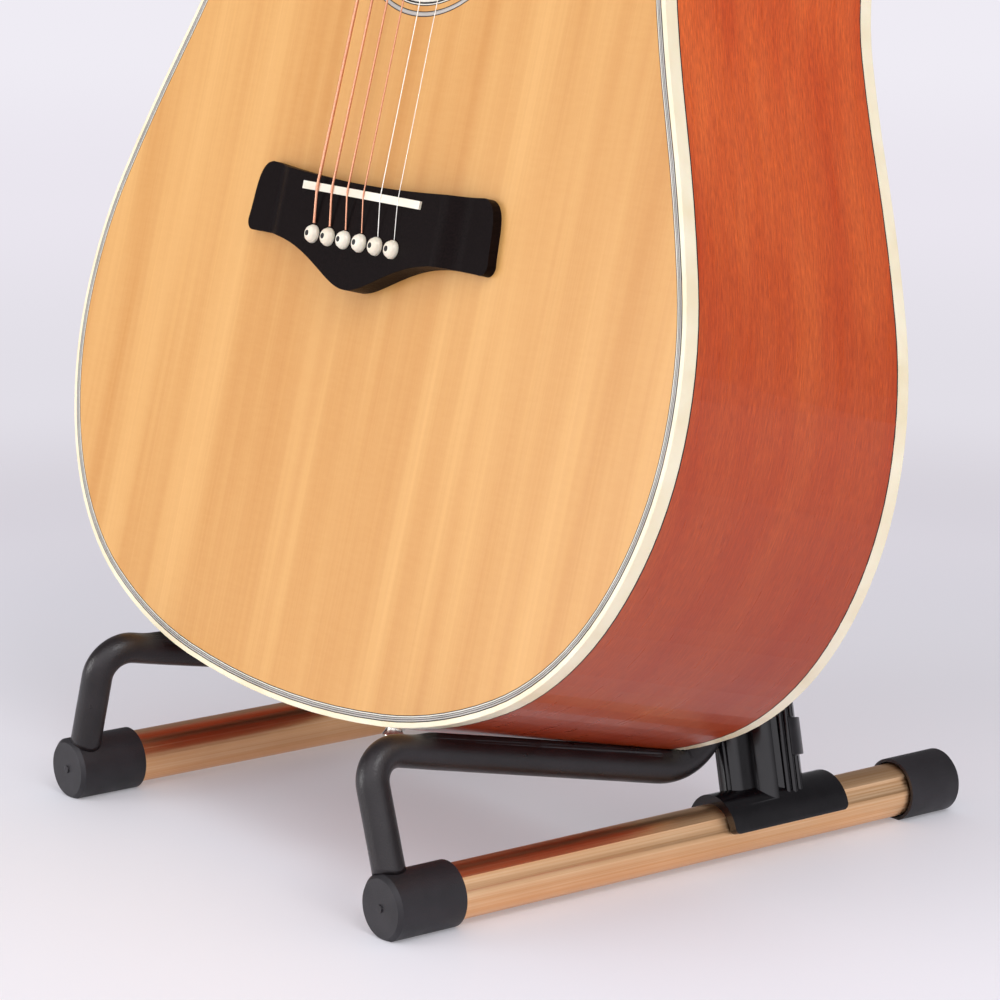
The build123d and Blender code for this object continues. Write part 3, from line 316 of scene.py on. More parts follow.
def mouldedPlastic(name, dark, pale, gloss, coat):
    # Injection-moulded ABS: a glossy skin with the slow ripple of the mould
    made, tree, surface = newMaterial(name, {
        "IOR": 1.53, "Specular IOR Level": 0.35, "Coat Weight": coat, "Coat Roughness": 0.12,
    })
    ripple = noiseBetween(tree, stretched(tree, (7, 7, 7)), 0, 1, 2)
    tint = blended(tree, ripple, dark, pale)
    shine = noiseBetween(tree, stretched(tree, (16, 16, 16)), gloss - 0.05, gloss + 0.07)
    finishWith(tree, surface, tint, shine, ripple, 0.04)
    return made


def spruceLacquer():
    # Sitka spruce under gloss lacquer: straight close grain, honey colour, broad soft bands
    made, tree, surface = newMaterial("spruceLacquer", {
        "IOR": 1.5, "Specular IOR Level": 0.35, "Coat Weight": 0.22, "Coat Roughness": 0.2,
    })
    turn = (-guitarTurn, 0, 0)
    grain = noiseBetween(tree, stretched(tree, (1.1, 260, 40), turn), 0, 1, 3, 0.6)
    fine = noiseBetween(tree, stretched(tree, (0.5, 120, 40), turn), 0, 1, 2)
    band = noiseBetween(tree, stretched(tree, (17, 520, 80), turn), 0, 1, 3)
    silk = noiseBetween(tree, stretched(tree, (7, 1.6, 20), turn), 0, 1, 2)
    tint = blended(tree, band, "#CE924B", "#E3AF68")
    tint = blended(tree, grain, blended(tree, 0.16, tint, "#C27B34"), tint)
    tint = blended(tree, fine, blended(tree, 0.07, tint, "#A9672A"), tint)
    tint = blended(tree, silk, blended(tree, 0.04, tint, "#FFD490"), tint)
    gloss = noiseBetween(tree, stretched(tree, (1.1, 60, 40), turn), 0.36, 0.46)
    finishWith(tree, surface, tint, gloss, grain, 0.006)
    return made


# Painted shade on the side near the tail: where it is full, where it is gone, its share and its colour
tailPaintedShade = {"full": 0.12, "gone": 0.46, "amount": 0.75, "color": "#8A2A10"}  # metres from the tail


def mahoganyLacquer(name, place, turn, dark, pale, coat):
    # Stained mahogany under gloss: interlocked ribbons and short dark pores along the grain. The pores are
    # drawn wide enough to show
    made, tree, surface = newMaterial(name, {
        "IOR": 1.5, "Specular IOR Level": 0.35, "Coat Weight": coat, "Coat Roughness": 0.17,
    })
    ribbon = noiseBetween(tree, stretched(tree, (150, 24, 24), turn, place), 0, 1, 3)
    streak = noiseBetween(tree, stretched(tree, (26, 1.1, 1.1), turn, place), 0, 1, 4, 0.6)
    pore = noiseBetween(tree, stretched(tree, (5.5, 0.55, 0.55), turn, place), 0, 1, 2, 0.7)
    tint = blended(tree, ribbon, dark, pale)
    tint = blended(tree, streak, blended(tree, 0.3, tint, "#8E2A10"), tint)
    tint = blended(tree, pore, blended(tree, 0.45, tint, "#5E1C12"), tint)
    if place:
        # Painted shade: the side is darker near the tail, the low end of the body, where less light falls
        run = addNode(tree, "ShaderNodeSeparateXYZ", None, {
            "Vector": addNode(tree, "ShaderNodeAttribute", {"attribute_name": place}).outputs["Vector"],
        })
        paintedTailShade = addNode(tree, "ShaderNodeMapRange", {"interpolation_type": "SMOOTHSTEP"}, {
            "Value": run.outputs["X"], "From Min": tailPaintedShade["full"], "From Max": tailPaintedShade["gone"],
            "To Min": tailPaintedShade["amount"], "To Max": 0.0,
        })
        tint = blended(tree, paintedTailShade.outputs["Result"], tint, tailPaintedShade["color"])
    gloss = noiseBetween(tree, stretched(tree, (34, 4, 4), turn, place), 0.26, 0.36)
    finishWith(tree, surface, tint, gloss, pore, 0.01)
    return made


def openGrainWood(name, dark, pale, poreColor, size, turn, gloss, shineLevel=0.25):
    # Bare or oiled timber: growth lines and open pores along one direction, dull shine
    made, tree, surface = newMaterial(name, {"IOR": 1.45, "Specular IOR Level": shineLevel})
    line = noiseBetween(tree, stretched(tree, (size, 90, size), turn), 0, 1, 3)
    pores = noiseBetween(tree, stretched(tree, (size / 3, 5, size / 3), turn), 0, 1, 2, 0.7)
    tint = blended(tree, line, dark, pale)
    tint = blended(tree, pores, blended(tree, 0.35, tint, poreColor), tint)
    shine = noiseBetween(tree, stretched(tree, (size, 20, size), turn), gloss - 0.05, gloss + 0.08)
    finishWith(tree, surface, tint, shine, pores, 0.03)
    return made


def castCelluloid(name, warm, pale):
    # Cream celluloid: a cast sheet with faint long clouds, buffed to a soft gloss
    made, tree, surface = newMaterial(name, {
        "IOR": 1.5, "Subsurface Weight": 0.06, "Subsurface Scale": 0.002, "Coat Weight": 0.3,
        "Coat Roughness": 0.15,
    })
    cloud = noiseBetween(tree, stretched(tree, (18, 18, 18)), 0, 1, 2)
    tint = blended(tree, cloud, warm, pale)
    shine = noiseBetween(tree, stretched(tree, (3, 3, 3)), 0.28, 0.38)
    finishWith(tree, surface, tint, shine, cloud, 0.008)
    return made


def platedMetal(name, dark, pale, gloss, scratch):
    # Plated or drawn metal: tight reflections with fine buffing marks, drawn coarse enough to show
    made, tree, surface = newMaterial(name, {"Metallic": 1.0})
    mark = noiseBetween(tree, stretched(tree, (scratch, scratch * 12, scratch)), 0, 1, 3)
    tint = blended(tree, mark, dark, pale)
    shine = noiseBetween(tree, stretched(tree, (3, 3, 3)), gloss - 0.04, gloss + 0.06)
    finishWith(tree, surface, tint, shine, mark, 0.004)
    return made


joinGap = 0.002 * mm  # vertices nearer than this are one
levelSlack = 0.01 * mm  # points this near a level lie on it


def mergedCopy(node):
    # A CAD node's triangles joined into one skin, in its own bmesh
    skin = bmesh.new()
    skin.from_mesh(nodes[node].data)
    bmesh.ops.remove_doubles(skin, verts=skin.verts, dist=joinGap)
    return skin


def widestNormal(node):
    # The outward direction of the node's largest flat side
    skin = mergedCopy(node)
    sides = {}
    for face in skin.faces:
        key = tuple(round(c, 2) for c in face.normal)
        sides[key] = sides.get(key, Vector()) + face.normal * face.calc_area()
    skin.free()
    return max(sides.values(), key=lambda side: side.length).normalized()


# The guitar's own axes, read from the soundboard: u across, v from tail to head, w out of the top
topNormal = widestNormal("soundboard")
if topNormal.y > 0:  # the top faces the front, which is -Y
    topNormal.negate()
guitarUp = topNormal.cross(Vector((1, 0, 0)))
guitarTurn = math.atan2(guitarUp.z, guitarUp.y)
topLevel = max(v.co.dot(topNormal) for v in nodes["soundboard"].data.vertices)
tailReach = min(v.co.dot(guitarUp) for v in nodes["side_rim"].data.vertices)
guitarPlace = Matrix((Vector((1, 0, 0)), guitarUp, topNormal)).transposed().to_4x4()
guitarPlace.translation = guitarUp * tailReach + topNormal * topLevel
toGuitar = guitarPlace.inverted()


def rimOutline(node, inner=False):
    # The closed loop of a node's edge on the level of the top, as (u, v) points in order
    skin = mergedCopy(node)
    bmesh.ops.transform(skin, matrix=toGuitar, verts=skin.verts)
    flat = [f for f in skin.faces if all(abs(v.co.z) < levelSlack for v in f.verts)]
    held = set(flat)
    edges = [e for f in flat for e in f.edges if sum(g in held for g in e.link_faces) == 1]
    links = {}
    for edge in edges:
        for vert in edge.verts:
            links.setdefault(vert, []).append(edge.other_vert(vert))
    loops = []
    left = dict.fromkeys(links)  # a dictionary, so that each run takes them in the same order
    while left:
        loop = [left.popitem()[0]]
        while True:
            following = next((v for v in links[loop[-1]] if v in left), None)
            if following is None:
                break
            left.pop(following)
            loop.append(following)
        loops.append([(v.co.x, v.co.y) for v in loop])
    skin.free()
    loops.sort(key=lambda loop: max(p[1] for p in loop) - min(p[1] for p in loop), reverse=True)
    return loops[1] if inner else loops[0]


outline = rimOutline("top_binding")
print("outline read:", len(outline), "points")


sharpAngle = math.radians(35)  # an edge that bends by more stays an edge


def refined(node, material, bevel):
    # A smooth copy of a CAD node with softened edges, in its material and on its body
    skin = mergedCopy(node)
    mesh = bpy.data.meshes.new(node + "_skin")
    skin.to_mesh(mesh)
    skin.free()
    mesh.polygons.foreach_set("use_smooth", [True] * len(mesh.polygons))
    mesh.set_sharp_from_angle(angle=sharpAngle)
    mesh.materials.append(material)
    piece = bpy.data.objects.new(node + "_piece", mesh)
    bpy.context.scene.collection.objects.link(piece)
    if bevel:
        rounding = piece.modifiers.new("rounding", "BEVEL")
        rounding.width = bevel * mm
        rounding.segments = 2
        rounding.limit_method = "ANGLE"
        rounding.angle_limit = sharpAngle
        rounding.harden_normals = True
    # Large faces rule the shading, so thin slivers between holes don't show
    shading = piece.modifiers.new("shading", "WEIGHTED_NORMAL")
    shading.keep_sharp = True
    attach(piece, bodyOf[node])
    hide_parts(node)
    return piece


# Geometry Nodes trees: each is built once, and each piece sets its own sizes on it
def newShapeTree(name, sizes):
    # A tree with a geometry input, named sizes and a material; gives the tree and its input node
    tree = bpy.data.node_groups.new(name, "GeometryNodeTree")
    tree.interface.new_socket(name="Geometry", in_out="INPUT", socket_type="NodeSocketGeometry")
    for size in sizes:
        tree.interface.new_socket(name=size, in_out="INPUT", socket_type="NodeSocketFloat")
    tree.interface.new_socket(name="Material", in_out="INPUT", socket_type="NodeSocketMaterial")
    tree.interface.new_socket(name="Geometry", in_out="OUTPUT", socket_type="NodeSocketGeometry")
    return tree, addNode(tree, "NodeGroupInput")


def closeShapeTree(tree, given, geometry):
    # Ends a tree in Realize Instances and Set Material
    plain = addNode(tree, "GeometryNodeRealizeInstances", None, {"Geometry": geometry})
    painted = addNode(tree, "GeometryNodeSetMaterial", None, {
        "Geometry": plain.outputs["Geometry"], "Material": given.outputs["Material"],
    })
    addNode(tree, "NodeGroupOutput", None, {"Geometry": painted.outputs["Geometry"]})


def shapedPiece(name, points, edges, tree, sizes, material, finishSlot, place, body):
    # Runs a tree on points and edges and keeps the result as a plain mesh riding on a body
    source = bpy.data.meshes.new(name + "Source")
    source.from_pydata(points, edges, [])
    holder = bpy.data.objects.new(name + "Source", source)
    bpy.context.scene.collection.objects.link(holder)
    shape = holder.modifiers.new("shape", "NODES")
    shape.node_group = tree
    for socket in tree.interface.items_tree:
        if socket.in_out == "INPUT" and socket.name in sizes:
            shape[socket.identifier] = sizes[socket.name]
        if socket.in_out == "INPUT" and socket.name == "Material":
            shape[socket.identifier] = material
    graph = bpy.context.evaluated_depsgraph_get()
    mesh = bpy.data.meshes.new_from_object(holder.evaluated_get(graph), depsgraph=graph)
    bpy.data.objects.remove(holder)
    mesh.transform(place)
    mesh.name = name
    piece = bpy.data.objects.new(name, mesh)
    bpy.context.scene.collection.objects.link(piece)
    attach(piece, body)
    return piece


def makeStripTree():
    # A flat strip that follows a closed loop at an inset from it, from one height to another
    tree, given = newShapeTree("laidStrip", ["Inset", "Width", "Low", "High"])
    loop = addNode(tree, "GeometryNodeMeshToCurve", None, {"Mesh": given.outputs["Geometry"]})
    upright = addNode(tree, "GeometryNodeSetCurveNormal", {"mode": "Z_UP"}, {
        "Curve": loop.outputs["Curve"],
    })
    rise = addNode(tree, "ShaderNodeMath", {"operation": "SUBTRACT"}, {
        0: given.outputs["High"], 1: given.outputs["Low"],
    })
    middle = addNode(tree, "ShaderNodeMath", {"operation": "MULTIPLY_ADD"}, {
        0: given.outputs["Width"], 1: 0.5, 2: given.outputs["Inset"],
    })
    inwards = addNode(tree, "ShaderNodeMath", {"operation": "MULTIPLY"}, {
        0: middle.outputs["Value"], 1: -1.0,
    })
    level = addNode(tree, "ShaderNodeMath", {"operation": "MULTIPLY_ADD"}, {
        0: rise.outputs["Value"], 1: 0.5, 2: given.outputs["Low"],
    })
    down = addNode(tree, "ShaderNodeMath", {"operation": "MULTIPLY"}, {0: level.outputs["Value"], 1: -1.0})
    shift = addNode(tree, "ShaderNodeCombineXYZ", None, {
        "X": inwards.outputs["Value"], "Y": down.outputs["Value"],
    })
    section = addNode(tree, "GeometryNodeCurvePrimitiveQuadrilateral", None, {
        "Width": given.outputs["Width"], "Height": rise.outputs["Value"],
    })
    moved = addNode(tree, "GeometryNodeTransform", None, {
        "Geometry": section.outputs["Curve"], "Translation": shift.outputs["Vector"],
    })
    strip = addNode(tree, "GeometryNodeCurveToMesh", None, {
        "Curve": upright.outputs["Curve"], "Profile Curve": moved.outputs["Geometry"],
    })
    closeShapeTree(tree, given, strip.outputs["Mesh"])
    return tree


def makeDotTree():
    # A round flat dot on each point, half sunk into what it marks
    tree, given = newShapeTree("inlaidDots", ["Radius", "Thickness"])
    dot = addNode(tree, "GeometryNodeMeshCylinder", None, {
        "Vertices": 20, "Radius": given.outputs["Radius"], "Depth": given.outputs["Thickness"],
    })
    placed = addNode(tree, "GeometryNodeInstanceOnPoints", None, {
        "Points": given.outputs["Geometry"], "Instance": dot.outputs["Mesh"],
    })
    closeShapeTree(tree, given, placed.outputs["Instances"])
    return tree


def makeWrapTree():
    # A string's turns round its post, each one pitch above the last
    tree, given = newShapeTree("postWraps", ["Post Radius", "Wire Radius", "Pitch", "Turns"])
    reach = addNode(tree, "ShaderNodeMath", {"operation": "ADD"}, {
        0: given.outputs["Post Radius"], 1: given.outputs["Wire Radius"],
    })
    rise = addNode(tree, "ShaderNodeMath", {"operation": "MULTIPLY"}, {
        0: given.outputs["Turns"], 1: given.outputs["Pitch"],
    })
    turns = addNode(tree, "GeometryNodeCurveSpiral", None, {
        "Resolution": 28, "Rotations": given.outputs["Turns"], "Start Radius": reach.outputs["Value"],
        "End Radius": reach.outputs["Value"], "Height": rise.outputs["Value"],
    })
    section = addNode(tree, "GeometryNodeCurvePrimitiveCircle", None, {
        "Resolution": 10, "Radius": given.outputs["Wire Radius"],
    })
    wire = addNode(tree, "GeometryNodeCurveToMesh", None, {
        "Curve": turns.outputs["Curve"], "Profile Curve": section.outputs["Curve"], "Fill Caps": True,
    })
    smooth = addNode(tree, "GeometryNodeSetShadeSmooth", None, {"Geometry": wire.outputs["Mesh"]})
    closeShapeTree(tree, given, smooth.outputs["Geometry"])
    return tree


# Trim: lines laid round the body, rings round the soundhole, dots, and the strings' turns
def loopEdges(count):
    return [(i, (i + 1) % count) for i in range(count)]


def turnedOut(piece):
    # Turns a closed mesh's faces outwards if they point in
    skin = bmesh.new()
    skin.from_mesh(piece.data)
    inward = skin.calc_volume(signed=True) < 0
    skin.free()
    if inward:
        piece.data.flip_normals()


def layLines(name, loop, start, tones, low, high):
    # Lines side by side, inwards from a closed loop of points, each in its own material
    inset = start
    for index, (tone, width) in enumerate(tones):
        sizes = {"Inset": inset * mm, "Width": width * mm, "Low": low * mm, "High": high * mm}
        turnedOut(shapedPiece(
            f"{name}{index + 1}", loop, loopEdges(len(loop)), stripTree, sizes, *tonesOf[tone],
            guitarPlace, "guitar",
        ))
        inset += width


def islandsOf(node):
    # A node's separate solids as lists of points in the guitar's axes
    skin = mergedCopy(node)
    bmesh.ops.transform(skin, matrix=toGuitar, verts=skin.verts)
    left = dict.fromkeys(skin.verts)
    found = []
    while left:
        front = [left.popitem()[0]]
        held = list(front)
        while front:
            vert = front.pop()
            for edge in vert.link_edges:
                other = edge.other_vert(vert)
                if other in left:
                    left.pop(other)
                    front.append(other)
                    held.append(other)
        found.append([v.co.copy() for v in held])
    skin.free()
    return found


def middleOf(points):
    return sum(points, Vector()) / len(points)


tonesOf = {  # each tone's material and the record's slot that it follows
    "black": (mouldedPlastic("inlayBlack", "#0E0A0A", "#171212", 0.5, 0.0), "cover_plastic"),
    "pale": (castCelluloid("inlayGrey", "#B5AFA6", "#C6C0B8"), "cream_binding"),
    "white": (castCelluloid("inlayWhite", "#E9E3D3", "#F5F0E2"), "cream_binding"),
}
stripTree = makeStripTree()
dotTree = makeDotTree()
wrapTree = makeWrapTree()

topLines = {
    "span": (-0.25, 0.04),  # from how deep in the top to how far above it, in millimetres
    "bindingWidth": 2.2,
    "purfling": [  # from the binding inwards: tone and width
        ("black", 0.3), ("pale", 0.6), ("black", 0.22), ("pale", 0.55), ("black", 0.22), ("white", 0.5),
        ("black", 0.3),
    ],
    "rings": [  # outer radius, then tones and widths towards the hole
        (60.4, [("black", 0.35), ("pale", 1.5), ("black", 0.35)]),
        (56.0, [
            ("black", 0.35), ("white", 0.45), ("black", 0.7), ("white", 2.6), ("black", 0.6),
            ("white", 0.4), ("black", 0.5),
        ]),
    ],
    "ringPoints": 128,
}
# The outline's points have to run anticlockwise, because a strip's inset is towards their left
if sum(a[0] * b[1] - b[0] * a[1] for a, b in zip(outline, outline[1:] + outline[:1])) < 0:
    outline.reverse()
topEdge = [(u, v, 0) for u, v in outline]
layLines("purfling", topEdge, topLines["bindingWidth"], topLines["purfling"], *topLines["span"])

hole = rimOutline("soundboard", inner=True)
holeLevel = (max(p[1] for p in hole) + min(p[1] for p in hole)) / 2
angles = [math.tau * i / topLines["ringPoints"] for i in range(topLines["ringPoints"])]
for index, (radius, tones) in enumerate(topLines["rings"]):
    ring = [(radius * mm * math.cos(a), holeLevel + radius * mm * math.sin(a), 0) for a in angles]
    layLines(f"holeRing{index + 1}Line", ring, 0, tones, *topLines["span"])
print("top's lines laid")

# A thin dark line follows each binding's inner edge round the side
edgeLine = {"start": -0.04, "tones": [("black", 0.4)], "span": (-0.25, 0.25)}
bindingLevel = min(p.z for island in islandsOf("top_binding") for p in island)
topPoints = [(u, v, bindingLevel) for u, v in outline]
layLines("topEdgeLine", topPoints, edgeLine["start"], edgeLine["tones"], *edgeLine["span"])
backNormal = toGuitar.to_3x3() @ widestNormal("back_plate")
backLevel = max(p.dot(backNormal) for island in islandsOf("back_plate") for p in island)
backPoints = [(u, v, (backLevel + bindingLevel - v * backNormal.y) / backNormal.z) for u, v in outline]
layLines("backEdgeLine", backPoints, edgeLine["start"], edgeLine["tones"], *edgeLine["span"])

# Dots on the bridge pins and on the fretboard, half sunk
pinDot = {"radius": 1.15, "thickness": 0.08}
fretDot = {
    "radius": 2.8,
    "thickness": 0.24,
    "places": {3: [0], 5: [0], 7: [0], 9: [0], 12: [-9, 9], 15: [0], 17: [0], 19: [0]},  # across, by fret
}
pinTops = []
for island in islandsOf("bridge_pins"):
    top = max(p.z for p in island)
    pinTops.append(middleOf([p for p in island if p.z > top - levelSlack]))
shapedPiece(
    "pinDots", pinTops, [], dotTree,
    {"Radius": pinDot["radius"] * mm, "Thickness": pinDot["thickness"] * mm},
    *tonesOf["black"], guitarPlace, "guitar",
)
fretLines = sorted((middleOf(island).y for island in islandsOf("frets")), reverse=True)
boardTop = max(p.z for island in islandsOf("fretboard") for p in island)
dots = []
for number, places in fretDot["places"].items():
    between = (fretLines[number - 1] + fretLines[number - 2]) / 2
    dots += [(u * mm, between, boardTop) for u in places]
shapedPiece(
    "fretDots", dots, [], dotTree,
    {"Radius": fretDot["radius"] * mm, "Thickness": fretDot["thickness"] * mm},
    *tonesOf["white"], guitarPlace, "guitar",
)
print("dots set")

# Each string's turns lie in the waist of its post, below where the string meets it, and go round with it
stringTurns = {
    "wires": {1: 0.16, 2: 0.21, 3: 0.31, 4: 0.41, 5: 0.53, 6: 0.68},  # each string's radius
    "firstWound": 3,  # this string and the thicker ones are wound
    "pitch": 2.1,  # rise of a turn, in the wire's radii
    "room": 3,  # left free at the waist's end, in the wire's radii
    "waistRadius": 2.6,
    "waistHalf": 2.0,  # half of the waist's length
    "near": 6,  # a string's points this close to the post's axis show where they meet
}
strings = [p for node in ("wound_strings", "plain_strings") for island in islandsOf(node) for p in island]
bronzeWire = platedMetal("bronzeWire", "#C68264", "#E0AA8C", 0.34, 0.3)
steelWire = platedMetal("plainSteelWire", "#E6E2D8", "#F6F3EC", 0.3, 0.3)
for number, wire in stringTurns["wires"].items():
    joint = joints[f"post_turn_{number}"]
    origin = toGuitar @ Vector(joint["pos_m"])
    axis = (toGuitar.to_3x3() @ Vector(joint["axis"])).normalized()
    offsets = [p - origin for p in strings]
    meeting = [p for p in offsets if p.cross(axis).length < stringTurns["near"] * mm]
    pitch = stringTurns["pitch"] * wire
    height = sum(p.dot(axis) for p in meeting) / len(meeting) - pitch * mm
    turn = (-axis).to_track_quat("Z", "Y").to_matrix().to_4x4()
    place = Matrix.Translation(origin + axis * height) @ turn
    sizes = {
        "Post Radius": stringTurns["waistRadius"] * mm, "Wire Radius": wire * mm, "Pitch": pitch * mm,
        "Turns": max(1.0, (stringTurns["waistHalf"] - stringTurns["room"] * wire) / pitch),
    }
    wound = number >= stringTurns["firstWound"]
    shapedPiece(
        f"stringTurns{number}", [(0, 0, 0)], [], wrapTree, sizes, bronzeWire if wound else steelWire,
        "bronze_wound" if wound else "steel_plain", guitarPlace @ place, f"post_{number}",
    )
print("strings' turns made")


# Foam: the sleeves crease at the arm's bends and swell up to the guitar, and the pads are full
foam = {
    "meshSize": 2.2,  # longest edge, in millimetres
    "splits": 6,  # rounds that halve longer edges, at most
    "endAngle": 0.6,  # edges that bend by more, in radians, keep their place
    "sharpAngle": 40,
    "dimpleDepth": 0.12,
    "dimpleSize": 6,
    "creaseSpacing": 4.5,
    "creaseDepth": 0.25,
    "creaseReach": 14,
    "creaseWander": 2,  # how far a crease strays
    "wanderSize": 9,
    "touchGap": 0.15,  # how near a sleeve's foam comes to the guitar that rests in it
    "swellNear": 1.5,  # gaps up to this close fully, and wider ones less and less
    "swellReach": 6.0,
    "softening": 3,  # rounds of averaging with the skin around
    "bends": [(-150, 56), (-10, 22)],  # inside each bend of the sleeves, in millimetres back and up
}


def restingSurface():
    # The parts of the guitar that rest in the sleeves, as one surface to measure against
    skin = bmesh.new()
    for node in ("side_rim", "back_binding", "top_binding", "back_plate"):
        skin.from_mesh(nodes[node].data)
    surface = BVHTree.FromBMesh(skin)
    skin.free()
    return surface


def foamPiece(node, material, bends=(), against=None):
    # A finer copy of a foam node. Its skin sinks in shallow dimples, and in creases near the bends, and
    # swells up to what rests in it
    skin = mergedCopy(node)
    bmesh.ops.triangulate(skin, faces=skin.faces)
    for step in range(foam["splits"]):
        longEdges = [e for e in skin.edges if e.calc_length() > foam["meshSize"] * mm]
        if not longEdges:
            break
        bmesh.ops.subdivide_edges(skin, edges=longEdges, cuts=1)
        bmesh.ops.triangulate(skin, faces=skin.faces)
    skin.normal_update()
    ends = {v for e in skin.edges if e.calc_face_angle(0) > foam["endAngle"] for v in e.verts}
    rises = {}  # how far each vertex moves out of the skin
    rooms = {}  # and how far it may, where the guitar is in front of it
    for vert in skin.verts:
        if vert in ends:
            continue
        gap = None
        if against:
            gap = against.ray_cast(vert.co, vert.normal, foam["swellReach"] * mm)[3]
        if gap is not None:
            slack = (foam["swellReach"] - gap / mm) / (foam["swellReach"] - foam["swellNear"])
            rooms[vert] = max(0.0, gap - foam["touchGap"] * mm)
            rises[vert] = rooms[vert] * min(1.0, slack) ** 2
            continue
        depth = foam["dimpleDepth"] * (0.5 + 0.5 * noise.noise(vert.co / (foam["dimpleSize"] * mm)))
        for back, up in bends:
            away = Vector((0, vert.co.y / mm - back, vert.co.z / mm - up))
            share = max(0.0, 1 - away.length / foam["creaseReach"])
            wander = foam["creaseWander"] * noise.noise(vert.co / (foam["wanderSize"] * mm))
            wave = math.sin(math.tau * (away.length + wander) / foam["creaseSpacing"])
            depth += foam["creaseDepth"] * share * (0.5 + 0.5 * wave)
        rises[vert] = -depth * mm
    for step in range(foam["softening"]):
        blurred = {}
        for vert in rises:
            around = [rises.get(edge.other_vert(vert), 0.0) for edge in vert.link_edges]
            mean = (rises[vert] + sum(around)) / (1 + len(around))
            blurred[vert] = min(rooms.get(vert, math.inf), mean)
        rises = blurred
    for vert, rise in rises.items():
        vert.co += vert.normal * rise
    bmesh.ops.dissolve_degenerate(skin, dist=joinGap, edges=skin.edges)
    bmesh.ops.triangulate(skin, faces=skin.faces)
    mesh = bpy.data.meshes.new(node + "_foam")
    skin.to_mesh(mesh)
    skin.free()
    mesh.validate()
    mesh.polygons.foreach_set("use_smooth", [True] * len(mesh.polygons))
    mesh.set_sharp_from_angle(angle=math.radians(foam["sharpAngle"]))
    mesh.materials.append(material)
    piece = bpy.data.objects.new(node + "_piece", mesh)
    bpy.context.scene.collection.objects.link(piece)
    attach(piece, bodyOf[node])
    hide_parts(node)
    print(node, len(mesh.polygons), "triangles")


sleeveVinyl = mouldedRubber("sleeveFoam", "#191516", "#252022", 0.33, 0.7)
padFoam = mouldedRubber("padFoam", "#211E21", "#2E2A2E", 0.7, 0.9)
guitarSkin = restingSurface()
for side in ("right", "left"):
    foamPiece("arm_sleeve_" + side, sleeveVinyl, foam["bends"], guitarSkin)
    foamPiece("back_pad_" + side, padFoam)
print("foam made")


# Every other CAD node gets its real material
def alongSide(piece):
    # Keeps the distance round the body from the tail, and the depth, for the side's bent grain and the painted
    # shade near the tail
    lengths = [0.0]
    for a, b in zip(outline, outline[1:] + outline[:1]):
        lengths.append(lengths[-1] + math.dist(a, b))
    corners = [Vector(point) for point in outline]
    tail = min(range(len(corners)), key=lambda i: (corners[i].y, abs(corners[i].x)))
    place = piece.data.attributes.new("rimPlace", "FLOAT_VECTOR", "POINT")
    for vert in piece.data.vertices:
        spot = toGuitar @ vert.co
        nearest = min(range(len(corners)), key=lambda i: (corners[i] - spot.xy).length_squared)
        ahead = corners[(nearest + 1) % len(corners)] - corners[nearest - 1]
        past = (spot.xy - corners[nearest]).dot(ahead.normalized())
        run = abs(lengths[nearest] + past - lengths[tail])
        place.data[vert.index].vector = (min(run, lengths[-1] - run), spot.z, 0)


goldBar = anodisedTube("goldAnodisedAluminium", (0, 0, 0))
goldUpright = anodisedTube("goldAnodisedUpright", (math.pi / 2, 0, 0))
capRubber = mouldedRubber("capRubber", "#1B191C", "#262327", 0.46, 0.5)
bracketPlastic = mouldedPlastic("bracketPlastic", "#0B090C", "#121013", 0.2, 0.1)
clipPlastic = mouldedPlastic("clipPlastic", "#141215", "#1C191D", 0.34, 0.1)
coverPlastic = mouldedPlastic("coverPlastic", "#121013", "#1A171B", 0.3, 0.2)
blackSteel = platedMetal("blackenedSteel", "#3A3836", "#57534F", 0.4, 0.8)
chrome = platedMetal("chromePlate", "#CFCFD2", "#E4E4E6", 0.12, 0.6)
nickel = platedMetal("nickelPlate", "#C9C5BC", "#DEDAD0", 0.2, 0.5)
spruce = spruceLacquer()
acrossBody = (-guitarTurn, 0, -math.pi / 2)
sideWood = mahoganyLacquer("sideMahogany", "rimPlace", (0, 0, 0), "#D84C12", "#F87530", 0.26)
backWood = mahoganyLacquer("backMahogany", None, acrossBody, "#C0380A", "#DE5420", 0.3)
neckWood = mahoganyLacquer("neckMahogany", None, acrossBody, "#8A3418", "#A84A26", 0.2)
cream = castCelluloid("creamCelluloid", "#F0E2BE", "#F8EFD2")
bone = castCelluloid("polishedBone", "#E6DAC2", "#F4ECDA")
alongBridge = (0, math.pi / 2, 0)
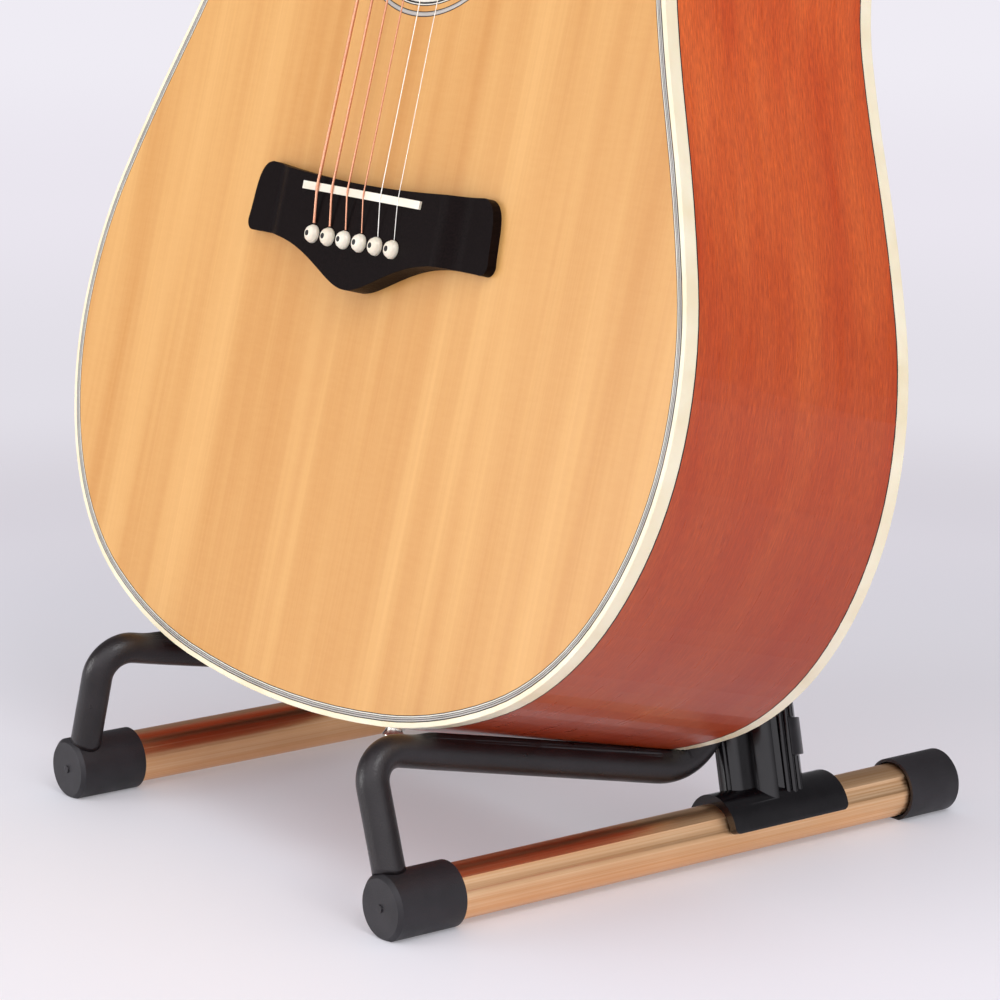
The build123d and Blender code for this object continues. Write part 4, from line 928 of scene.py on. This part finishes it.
alongNeck = (-guitarTurn, 0, 0)
rosewoodTones = ("#2C1712", "#42241B", "#150A08")
blackwood = openGrainWood("bridgeBlackwood", "#0C0707", "#1A1010", "#050303", 0.9, alongBridge, 0.4, 0.05)
rosewood = openGrainWood("fretboardRosewood", *rosewoodTones, 1.0, alongNeck, 0.45)
headFace = openGrainWood("headLacquer", *rosewoodTones, 1.0, alongNeck, 0.2)
blockWood = openGrainWood("blockTimber", "#B58A5B", "#CFA674", "#7D5932", 1.4, alongNeck, 0.6)
barSpruce = openGrainWood("barSpruce", "#D3AC78", "#E6C493", "#A27C49", 1.2, alongBridge, 0.6)
finishes = {  # material and edge rounding in millimetres by the record's slot
    "gold_tube": (goldBar, 0), "cap_rubber": (capRubber, 0.8), "arm_steel": (blackSteel, 0),
    "bracket_plastic": (bracketPlastic, 0.5), "clip_plastic": (clipPlastic, 0.3),
    "hinge_plastic": (bracketPlastic, 0.5), "hinge_steel": (chrome, 0), "spruce_top": (spruce, 0),
    "mahogany_body": (backWood, 0), "cream_binding": (cream, 0.2), "block_wood": (blockWood, 0),
    "lining_wood": (blockWood, 0), "brace_spruce": (barSpruce, 0.5), "bridge_wood": (blackwood, 0.5),
    "bone_white": (bone, 0.3), "pin_ivory": (bone, 0.3), "end_pin_nickel": (nickel, 0),
    "neck_mahogany": (neckWood, 0.4), "truss_steel": (blackSteel, 0), "fretboard_wood": (rosewood, 0.2),
    "fret_nickel": (nickel, 0), "headstock_lacquer": (headFace, 0.3), "cover_plastic": (coverPlastic, 0.2),
    "tuner_chrome": (chrome, 0.4), "bronze_wound": (bronzeWire, 0), "steel_plain": (steelWire, 0),
}
# Nodes whose grain or lines run another way than their slot's finish
ownFinish = {"side_rim": sideWood, "upright_right": goldUpright, "upright_left": goldUpright}
for node in nodes:
    if node.startswith(("arm_sleeve", "back_pad")):  # the foam made above
        continue
    material, bevel = finishes[slotOf[node]]
    piece = refined(node, ownFinish.get(node, material), bevel)
    if node == "side_rim":
        alongSide(piece)
print("nodes finished")
